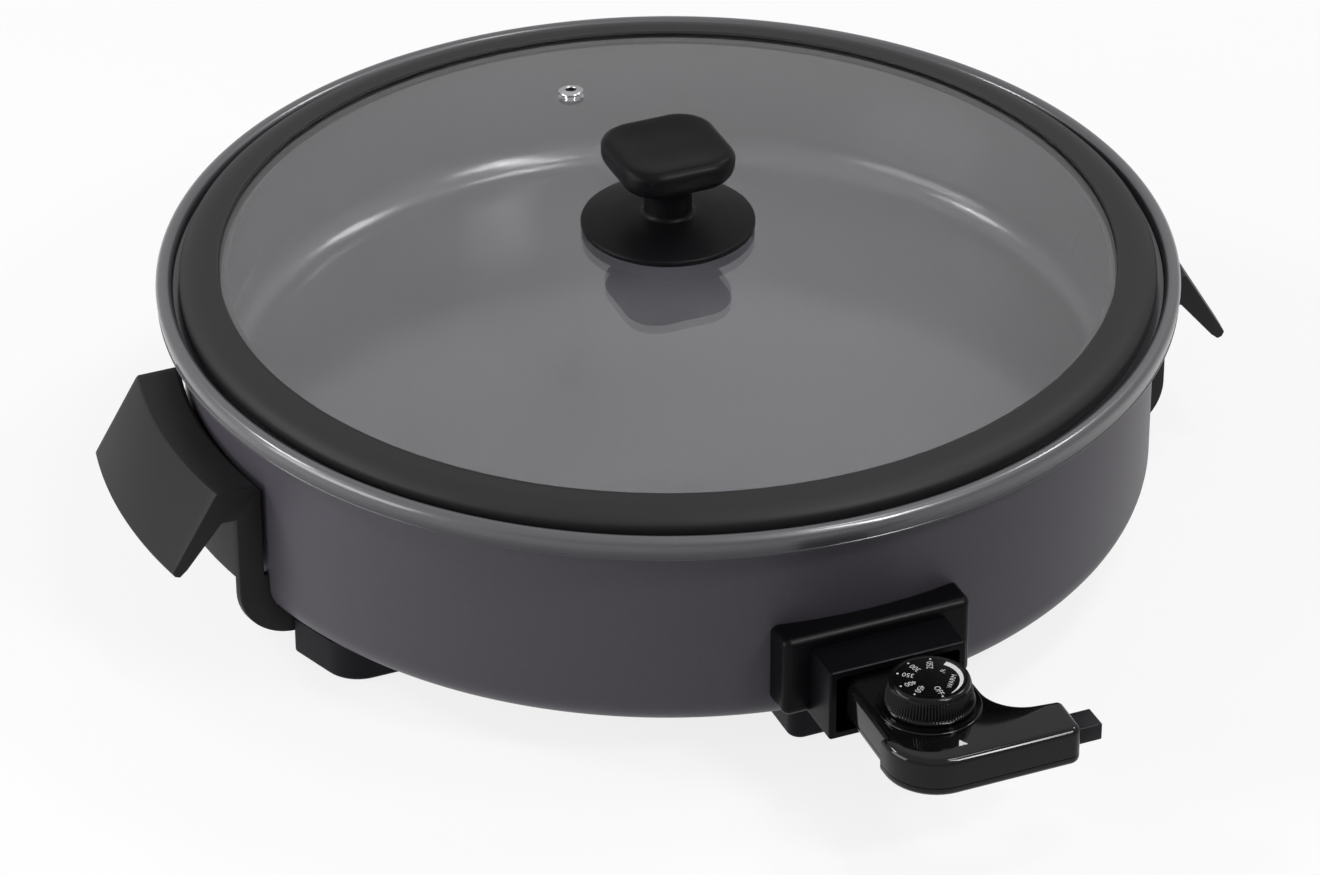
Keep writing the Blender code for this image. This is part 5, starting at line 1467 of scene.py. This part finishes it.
@dataclass
class Control(Assembly):
    """Plug-in control: two case halves with the probe, gland and thermostat.

    Screw_head and screw_shank are the radius of each part of a screw's well and how far it stops
    short of the half's lower and upper face. Ink is the heights of the print over the top.
    """

    back: float = 0.186
    top: float = 0.0485
    low: float = 0.034
    wall: float = 0.002
    edge: float = 0.0025
    neck_half: float = 0.02
    shoulder_half: float = 0.0175
    left: float = 0.0225
    right: float = 0.0418
    front: float = 0.2555
    arm_back: float = 0.237
    corner: float = 0.0185
    sweep: float = 0.0145
    nose_length: float = 0.014
    nose_drop: float = 0.0032
    dial_y: float = 0.2235
    shaft_r: float = 0.0031
    shaft_over: float = 0.005
    collar_r: float = 0.0178
    collar: float = 0.0016
    port_depth: float = 0.0126
    probe_r: float = 0.0031
    sleeve_r: float = 0.0038
    screw_head: Point = (0.0027, 0.0015)
    screw_shank: Point = (0.0016, 0.0004)
    screw_back: float = 0.012
    gland_length: float = 0.0095
    gland_width: float = 0.0098
    gland_height: float = 0.0064
    gland_step: float = 0.0012
    gland_drop: float = 0.0073
    gland_bore: float = 0.0024
    gland_softening: float = 0.0005
    pointer_x: float = 0.0008
    pointer_y: float = -0.2471
    pointer_half: float = 0.0017
    pointer_ends: Point = (-0.0014, 0.0018)
    ink: Point = (0.00002, 0.00006)
    steps: int = 12

    def build(self) -> None:
        """Make the case, its gland and pointer, and dress what is inside."""
        self.upper()
        self.lower()
        self.gland()
        self.pointer()
        self.shop.dress("bright_steel", "probe_tube")
        self.shop.dress("brass", "contact_sleeve_left", "contact_sleeve_right", "contact_leaf")
        self.shop.dress("zinc_steel", "thermostat_frame", "case_screw_1", "case_screw_2", "case_screw_3")

    def corners(self) -> list[Corner]:
        """Work out the case's outline seen from above.

        Returns:
            Its corners, counter-clockwise, each with the radius of its rounding.
        """
        shoulder = -Socket.box_front - self.edge
        neck = -self.dial_y - self.sweep * 0.7
        return [
            (-self.shoulder_half, -self.back, self.edge / 2),
            (-self.shoulder_half, shoulder + self.edge, self.edge / 2),
            (-self.neck_half, shoulder, self.edge / 2),
            (-self.neck_half - self.wall / 3, neck, 0), (-self.left, neck, 0),
            (-self.left, -self.front, self.corner), (self.right, -self.front, self.edge * 1.6),
            (self.right + self.edge / 5, -self.arm_back, self.edge),
            (self.neck_half, -self.arm_back + self.edge, self.sweep),
            (self.neck_half, shoulder, self.edge / 2),
            (self.shoulder_half, shoulder + self.edge, self.edge / 2),
            (self.shoulder_half, -self.back, self.edge / 2),
        ]

    def half_case(self, name: str, node: str, layers: list[Point],
                  hollow: Point) -> bpy.types.Object:
        """Make one half of the case, hollowed out.

        Args:
            name: The piece's name.
            node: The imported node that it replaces.
            layers: Inset and height of each layer.
            hollow: Heights between which it is hollow.

        Returns:
            The half.
        """
        piece = self.shop.place(Shape.plate("case", self.corners(), layers, self.steps), name, Body.CONTROL,
                                "control_plastic", (node,))
        inner = [(self.wall, height) for height in hollow]
        self.shop.cut(piece, [Shape.plate("hollow", self.corners(), inner, self.steps)])
        return piece

    def ports(self) -> list[bpy.types.Mesh]:
        """Make the cutters for the probe and the two contact sleeves.

        Returns:
            The cutters, in place.
        """
        reach = (self.back - Datum.past, self.back + self.port_depth)
        sizes = ((0, self.probe_r), (-Socket.pin_x, self.sleeve_r), (Socket.pin_x, self.sleeve_r))
        return [Shape.pin(r, reach, 32, (x, 0, Datum.probe_z), Facing.TO_CONTROL.value)
                for x, r in sizes]

    def notch(self) -> bpy.types.Mesh:
        """Make the cutter for the gland's opening.

        Returns:
            The cutter, in place.
        """
        sizes = (self.gland_width, self.gland_height)
        half = tuple(size / 2 + Datum.seat - self.gland_step for size in sizes)
        square = Shape.rectangle(half, self.gland_place())
        ends = (self.right - 2 * self.wall, self.right + Datum.past)
        return Shape.lofted("notch", [[(x, y, z) for y, z in square] for x in ends])

    def gland_place(self) -> Point:
        """Return the gland's place along the case's side and its height."""
        return -(self.front + self.arm_back) / 2 + self.edge / 3, self.top - self.gland_drop

    def upper(self) -> None:
        """Make the upper half with the dial's collar."""
        low = Datum.probe_z + Datum.seat / 2
        piece = self.half_case("case_top", "control_case_upper",
                               Shape.layers(low, self.top, self.edge, 0, 8),
                               (low - Datum.past, self.top - self.wall))
        step, root, radius = self.collar / 2, self.top - self.wall / 2, self.collar_r
        ring = [(0, root), (radius, root), (radius, self.top + step * 0.3)]
        ring += Shape.arc((radius - step * 0.5, self.top + step * 0.5), step * 0.5, 0, 90, 4)
        ring += [(radius - step, self.top + step), (radius - step, self.top + self.collar),
                 (0, self.top + self.collar)]
        place = (0, -self.dial_y, 0)
        self.shop.cut(piece, [Shape.set_at(Shape.turned("collar", ring, 96), place)], join=True)
        reach = (self.top - Datum.past, self.top + self.shaft_over)
        self.shop.cut(piece, [Shape.pin(self.shaft_r, reach, 32, place), self.notch(), *self.ports()])

    def lower(self) -> None:
        """Make the lower half with its nose and screw wells."""
        high = Datum.probe_z - Datum.seat / 2
        piece = self.half_case("case_bottom", "control_case_lower",
                               Shape.layers(self.low, high, 0, self.edge, 8),
                               (self.low + self.wall, high + Datum.past))
        back, front = -self.back - self.edge / 2, -self.back - self.nose_length
        half = (self.shoulder_half - self.edge / 2, (back - front) / 2)
        corners = [(x, y, self.edge) for x, y in Shape.rectangle(half, (0.0, (back + front) / 2))]
        layers = Shape.layers(self.low - self.nose_drop, self.low + self.wall / 2, 0, self.edge / 2, 4)
        self.shop.cut(piece, [Shape.plate("nose", corners, layers, 8)], join=True)
        (head_r, head), (shank_r, short) = self.screw_head, self.screw_shank
        seat, end = self.low + head, high - short
        well = [(0, self.low - Datum.past), (head_r, self.low - Datum.past), (head_r, seat),
                (shank_r, seat), (shank_r, end), (0, end)]
        wells = [Shape.set_at(Shape.turned("well", well, 32), (x, y, 0)) for x, y in self.screw_places()]
        self.shop.cut(piece, [*wells, *self.ports()])

    def screw_places(self) -> list[Point]:
        """Return the places of the screws that close the case from below."""
        inset = self.wall * 2
        return [(-self.left + self.corner * 0.5, -self.front + self.corner * 0.5),
                (self.right - self.sweep, -self.front + inset + self.wall / 2),
                (-self.neck_half + inset, -self.back - self.screw_back - 2 * inset)]

    def gland(self) -> None:
        """Make the stepped stub where the lead would go in, with its open bore."""
        place = self.gland_place()
        half, high = self.gland_width / 2 - self.gland_step, self.gland_height / 2 - self.gland_step
        inner = self.right - 2 * self.wall + Datum.seat
        step, outer = self.right + Datum.seat + self.edge / 5, self.right + self.gland_length
        rings = []
        for x, spread in ((inner, 0), (step, 0), (step, self.gland_step), (outer, self.gland_step)):
            square = Shape.rectangle((half + spread, high + spread), place)
            rings.append([(x, y, z) for y, z in square])
        piece = self.shop.place(Shape.lofted("gland", rings), "lead_stub", Body.CONTROL, "stub_plastic",
                                ("cord_gland",))
        self.shop.soften(piece, self.gland_softening)
        reach = (inner - Datum.past, outer + Datum.past)
        self.shop.cut(piece, [Shape.pin(self.gland_bore, reach, 32, (0, *place), Facing.TO_RIGHT.value)])

    def pointer(self) -> None:
        """Print the white triangle that the dial is read against."""
        x, half = self.pointer_x, self.pointer_half
        low, high = (self.pointer_y + end for end in self.pointer_ends)
        points = [(x - half, low), (x + half, low), (x, high)]
        rings = [[(*point, self.top + up) for point in points] for up in self.ink]
        self.shop.place(Shape.lofted("pointer", rings), "dial_pointer", Body.CONTROL, "print")


@dataclass(frozen=True)
class Word:
    """A word printed across the dial's radius, placed by angle and distance from the middle."""

    name: str
    text: str
    degrees: float
    out: float
    size: float


@dataclass
class Dial(Assembly):
    """Ribbed dial with its printed scale, and the shaft under it.

    Flange gives rows of (inset, height) from the skirt's foot up, and recess rows of (inset,
    depth) from the top's edge inward. Marks gives the angle of each temperature in degrees.
    """

    y: float = Control.dial_y
    low: float = 0.0505
    height: float = 0.0094
    skirt: float = 0.0068
    top_r: float = 0.0132
    skirt_r: float = 0.0155
    flange: tuple[Point, ...] = ((0.0003, 0.0), (0.0, 0.0002), (0.0, 0.0009), (0.0001, 0.0010),
                                 (0.0004, 0.0012))
    ribs: int = 84
    rib: float = 0.0004
    rib_inset: float = 0.0004
    rib_low: float = 0.0015
    rib_length: float = 0.0061
    rib_taper: float = 0.0011
    rib_rows: int = 4
    rib_sides: int = 8
    rib_power: float = 1.4
    shoulder: Point = (0.0006, 0.0078)
    roll: float = 0.0013
    roll_inset: float = 0.0007
    recess: tuple[Point, ...] = ((0.0011, 0.00010), (0.0014, 0.00015))
    ink: float = 0.00004
    text_size: float = 0.0032
    text_narrow: float = 0.88
    text_inset: float = 0.0036
    mark_out: float = 0.0110
    off_out: float = 0.0114
    dot_r: float = 0.00038
    band_degrees: Point = (35.4, -75.3)
    band_out: float = 0.0112
    band_width: float = 0.0020
    band_thin: float = 0.00012
    band_power: float = 0.7
    band_steps: int = 40
    sharp: float = 50.0
    marks: dict[str, float] = field(default_factory=lambda: {
        "OFF": -93.2, "450": -142.7, "400": -176.9, "350": 143.9, "300": 106.3, "250": 64.7})
    words: tuple[Word, ...] = (Word("mark_WARM", "WARM", -38, 0.0075, 0.0026),
                               Word("mark_scale", "°F", 17, 0.0064, 0.0028))

    def build(self) -> None:
        """Make the dial and its print and dress the shaft."""
        self.knob()
        self.scale()
        self.warm_band()
        self.shop.dress("brass", "dial_shaft")

    def rows(self) -> list[Corner]:
        """Work out the dial's outside from the flange up.

        Returns:
            Radius, height and depth of the ribs for each row, the depth as a share.
        """
        top = self.low + self.height
        rows = [(self.skirt_r - inset, self.low + up, 0.0) for inset, up in self.flange]
        for step in range(self.rib_rows + 1):
            share = step / self.rib_rows
            rows.append((self.skirt_r - self.rib_inset - self.rib_taper * share,
                         self.low + self.rib_low + self.rib_length * share, 1.0))
        rows.append((self.top_r + self.shoulder[0], self.low + self.shoulder[1], 0.0))
        centre = (self.top_r - self.roll_inset, top - self.roll)
        rows += [(r, z, 0.0) for r, z in Shape.arc(centre, self.roll, 5, 90, 8)]
        return rows + [(self.top_r - inset, top - down, 0.0) for inset, down in self.recess]

    def knob(self) -> None:
        """Make the ribbed dial with a rolled upper edge."""
        count = self.ribs * self.rib_sides
        turns = [2 * math.pi * k / count for k in range(count)]
        waves = [(0.5 - 0.5 * math.cos(2 * math.pi * k / self.rib_sides)) ** self.rib_power
                 for k in range(count)]
        rings = []
        for radius, height, depth in self.rows():
            outs = [radius - self.rib * depth * wave for wave in waves]
            rings.append([(out * math.cos(turn), out * math.sin(turn), height)
                          for out, turn in zip(outs, turns)])
        place = (0, -self.y, 0)
        piece = self.shop.place(Shape.lofted("dial", rings), "heat_dial", Body.DIAL, "dial_plastic",
                                ("dial",), at=place, sharp=self.sharp)
        reach = (self.low - Datum.past, self.low + self.skirt)
        self.shop.cut(piece, [Shape.pin(Control.shaft_r, reach, 32, place)])

    def print_at(self) -> float:
        """Return the height of the printed face."""
        return self.low + self.height - self.recess[-1][1]

    def on_face(self, out: float, turn: float, height: float) -> Corner:
        """Return the place at a distance and an angle from the dial's middle."""
        return (out * math.cos(turn), out * math.sin(turn) - self.y, height)

    def lettering(self, text: str, size: float) -> bpy.types.Mesh:
        """Make flat lettering, centred on its own origin.

        Args:
            text: The letters.
            size: Height of a line.

        Returns:
            The lettering's mesh.
        """
        curve = bpy.data.curves.new("lettering", "FONT")
        curve.body = text
        curve.size = size
        curve.align_x = "CENTER"
        curve.align_y = "CENTER"
        curve.extrude = self.ink / 2
        curve.offset = -self.ink
        curve.resolution_u = 4
        holder = bpy.data.objects.new("lettering", curve)
        bpy.context.scene.collection.objects.link(holder)
        bpy.context.view_layer.update()
        evaluated = holder.evaluated_get(bpy.context.evaluated_depsgraph_get())
        mesh = bpy.data.meshes.new_from_object(evaluated)
        bpy.data.objects.remove(holder)
        mesh.materials.clear()
        return mesh

    def scale(self) -> None:
        """Print the temperatures, each with its dot, and the two words."""
        face, high = self.print_at(), self.print_at() + self.ink
        for text, degrees in self.marks.items():
            turn = math.radians(degrees)
            out = self.off_out if text == "OFF" else self.mark_out
            mesh = self.lettering(text, self.text_size)
            mesh.transform(Matrix.Diagonal((self.text_narrow, 1, 1, 1)))
            self.shop.place(mesh, "mark_" + text, Body.DIAL, "print",
                            at=self.on_face(out - self.text_inset, turn, high), facing=(0, 0, turn))
            dot = Shape.turned("dot", Shape.rod(self.dot_r, 0, self.ink), 20)
            self.shop.place(dot, "dot_" + text, Body.DIAL, "print", at=self.on_face(out, turn, face))
        for word in self.words:
            turn = math.radians(word.degrees)
            self.shop.place(self.lettering(word.text, word.size), word.name, Body.DIAL, "print",
                            at=self.on_face(word.out, turn, high), facing=(0, 0, turn + math.pi / 2))

    def warm_band(self) -> None:
        """Print the band that narrows through the warm settings."""
        start, end = self.band_degrees
        face, high = self.print_at(), self.print_at() + self.ink
        outer = self.band_out
        rings = []
        for k in range(self.band_steps + 1):
            share = k / self.band_steps
            turn = math.radians(start + (end - start) * share)
            inner = outer - self.band_width * (1 - share) ** self.band_power - self.band_thin
            section = ((inner, face), (outer, face), (outer, high), (inner, high))
            rings.append([self.on_face(out, turn, height) for out, height in section])
        self.shop.place(Shape.lofted("band", rings), "warm_band", Body.DIAL, "print")


@dataclass(frozen=True)
class Softbox:
    """A soft lamp that faces the skillet.

    Attributes:
        name: The lamp's name.
        turn: Direction in degrees, with 0 in front of the control and 90 to the right.
        rise: Height above the table in degrees.
        size: Width and height in metres.
        power: Power in watts.
        lights_matt: Whether it lights matt surfaces too, and not only shows in glossy ones.
    """

    name: str
    turn: float
    rise: float
    size: Point
    power: float
    lights_matt: bool = True

    def hang(self, reach: float, target: Vector) -> None:
        """Hang the lamp.

        Args:
            reach: Distance from the target in metres.
            target: The place that the lamp faces.
        """
        data = bpy.data.lights.new(self.name, "AREA")
        data.shape = "RECTANGLE"
        data.size, data.size_y = self.size
        data.energy = self.power
        around, above = math.radians(self.turn), math.radians(self.rise)
        level = math.cos(above)
        back = Vector((math.sin(around) * level, -math.cos(around) * level, math.sin(above)))
        lamp = bpy.data.objects.new(self.name, data)
        lamp.location = back * reach + target
        lamp.rotation_mode = "QUATERNION"
        lamp.rotation_quaternion = back.to_track_quat("Z", "Y")
        lamp.visible_diffuse = self.lights_matt
        bpy.context.scene.collection.objects.link(lamp)


SOFTBOXES = (
    Softbox("key", -92, 14, (1.0, 0.8), 17),
    Softbox("strip", -117, 36, (0.40, 0.16), 8),
    Softbox("side", 98, 50, (0.35, 0.25), 6),
    Softbox("overhead", 66, 72, (0.30, 0.22), 3.5),
    Softbox("front", 30, 42, (0.30, 0.22), 7),
    Softbox("sheen", 24, 46, (0.16, 1.00), 14, lights_matt=False),
)


@dataclass
class Studio:
    """Camera at the photograph's angle, soft lamps and a white floor."""

    focal: float = 166.563
    sensor: float = 36.0
    nearest: float = 0.05
    distance: float = 2.1833
    elevation: float = 32.574
    azimuth: float = 22.75
    roll: float = -0.183
    shift_x: float = -0.00309
    shift_y: float = -0.06382
    ambient: float = 0.40
    zenith: float = 0.14
    falloff: float = 0.33
    lamp_reach: float = 1.6
    floor_half: float = 6.0
    floor_depth: float = 0.02
    floor_glow: float = 0.82
    paper: Colour = (0.88, 0.88, 0.88)
    paper_roughness: float = 0.9
    white: Colour = (1.0, 1.0, 1.0)

    def build(self) -> None:
        """Make the camera, the world, the floor and the lamps."""
        self.camera()
        self.world()
        self.floor()
        for lamp in SOFTBOXES:
            lamp.hang(self.lamp_reach, Vector((0, Datum.pan_y, Datum.rim_top / 2)))
        bpy.context.scene.view_settings.view_transform = "Standard"

    def camera(self) -> None:
        """Stand the camera where the photograph was taken."""
        rise, roll = math.radians(self.elevation), math.radians(self.roll)
        back = Vector((0, -math.cos(rise), math.sin(rise)))
        across = Vector((1, 0, 0))
        up = across.cross(-back)
        right = across * math.cos(roll) + up * math.sin(roll)
        upright = up * math.cos(roll) - across * math.sin(roll)
        turn = Matrix.Rotation(math.radians(-self.azimuth), 3, "Z")
        place = turn @ (back * self.distance + across * self.shift_x + up * self.shift_y)
        axes = Matrix([turn @ right, turn @ upright, turn @ back]).transposed().to_4x4()
        data = bpy.data.cameras.new("camera")
        data.lens = self.focal
        data.sensor_width = self.sensor
        data.clip_start = self.nearest
        camera = bpy.data.objects.new("camera", data)
        target = Vector((0, Datum.pan_y, Datum.rim_top))
        camera.matrix_world = Matrix.Translation(place + target) @ axes
        bpy.context.scene.collection.objects.link(camera)
        bpy.context.scene.camera = camera

    def world(self) -> None:
        """Make the white surroundings and the soft light they give."""
        world = bpy.data.worlds.new("studio")
        bpy.context.scene.world = world
        world.use_nodes = True
        graph = Graph(world.node_tree)
        above = graph.height(graph.node("ShaderNodeTexCoord", output="Generated")).larger(0.0)
        mirrored = graph.ray("Is Glossy Ray")
        level = self.ambient - above * (self.ambient - self.zenith)
        soft = graph.node("ShaderNodeBackground", {}, {"Color": self.white, "Strength": level})
        shade = mirrored * (1 - above.over(0.5, 0.5)) * self.falloff
        white = graph.node("ShaderNodeBackground", {}, {"Color": self.white, "Strength": 1 - shade})
        mixed = graph.node("ShaderNodeMixShader", {}, {0: graph.seen(), 1: soft, 2: white})
        graph.surface(mixed, "ShaderNodeOutputWorld")

    def floor(self) -> None:
        """Lay the pale floor, which shows white and keeps a soft shadow."""
        square = Shape.rectangle((self.floor_half, self.floor_half))
        mesh = Shape.lofted("floor", [[(x, y, z) for x, y in square] for z in (-self.floor_depth, 0)])
        material = bpy.data.materials.new("floor")
        material.use_nodes = True
        graph = Graph(material.node_tree)
        paper = graph.principled(Base_Color=self.paper, Roughness=self.paper_roughness,
                                 Specular_IOR_Level=0.0)
        glow = graph.node("ShaderNodeEmission", {}, {"Color": self.white, "Strength": 1.0})
        shares = {0: graph.seen() * self.floor_glow, 1: paper, 2: glow}
        graph.surface(graph.node("ShaderNodeMixShader", {}, shares))
        mesh.materials.append(material)
        floor = bpy.data.objects.new("floor", mesh)
        bpy.context.scene.collection.objects.link(floor)


def main() -> None:
    """Build every sub-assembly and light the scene."""
    logging.basicConfig(level=logging.INFO, format="%(name)s %(message)s")
    shop = Workshop()
    for kind in (Pan, Handles, Feet, Socket, Lid, Knob, Control, Dial):
        kind(shop).build()
        LOG.info("%s done", kind.__name__)
    Studio().build()
    LOG.info("%d pieces made", shop.count)


if __name__ == "__main__":
    main()
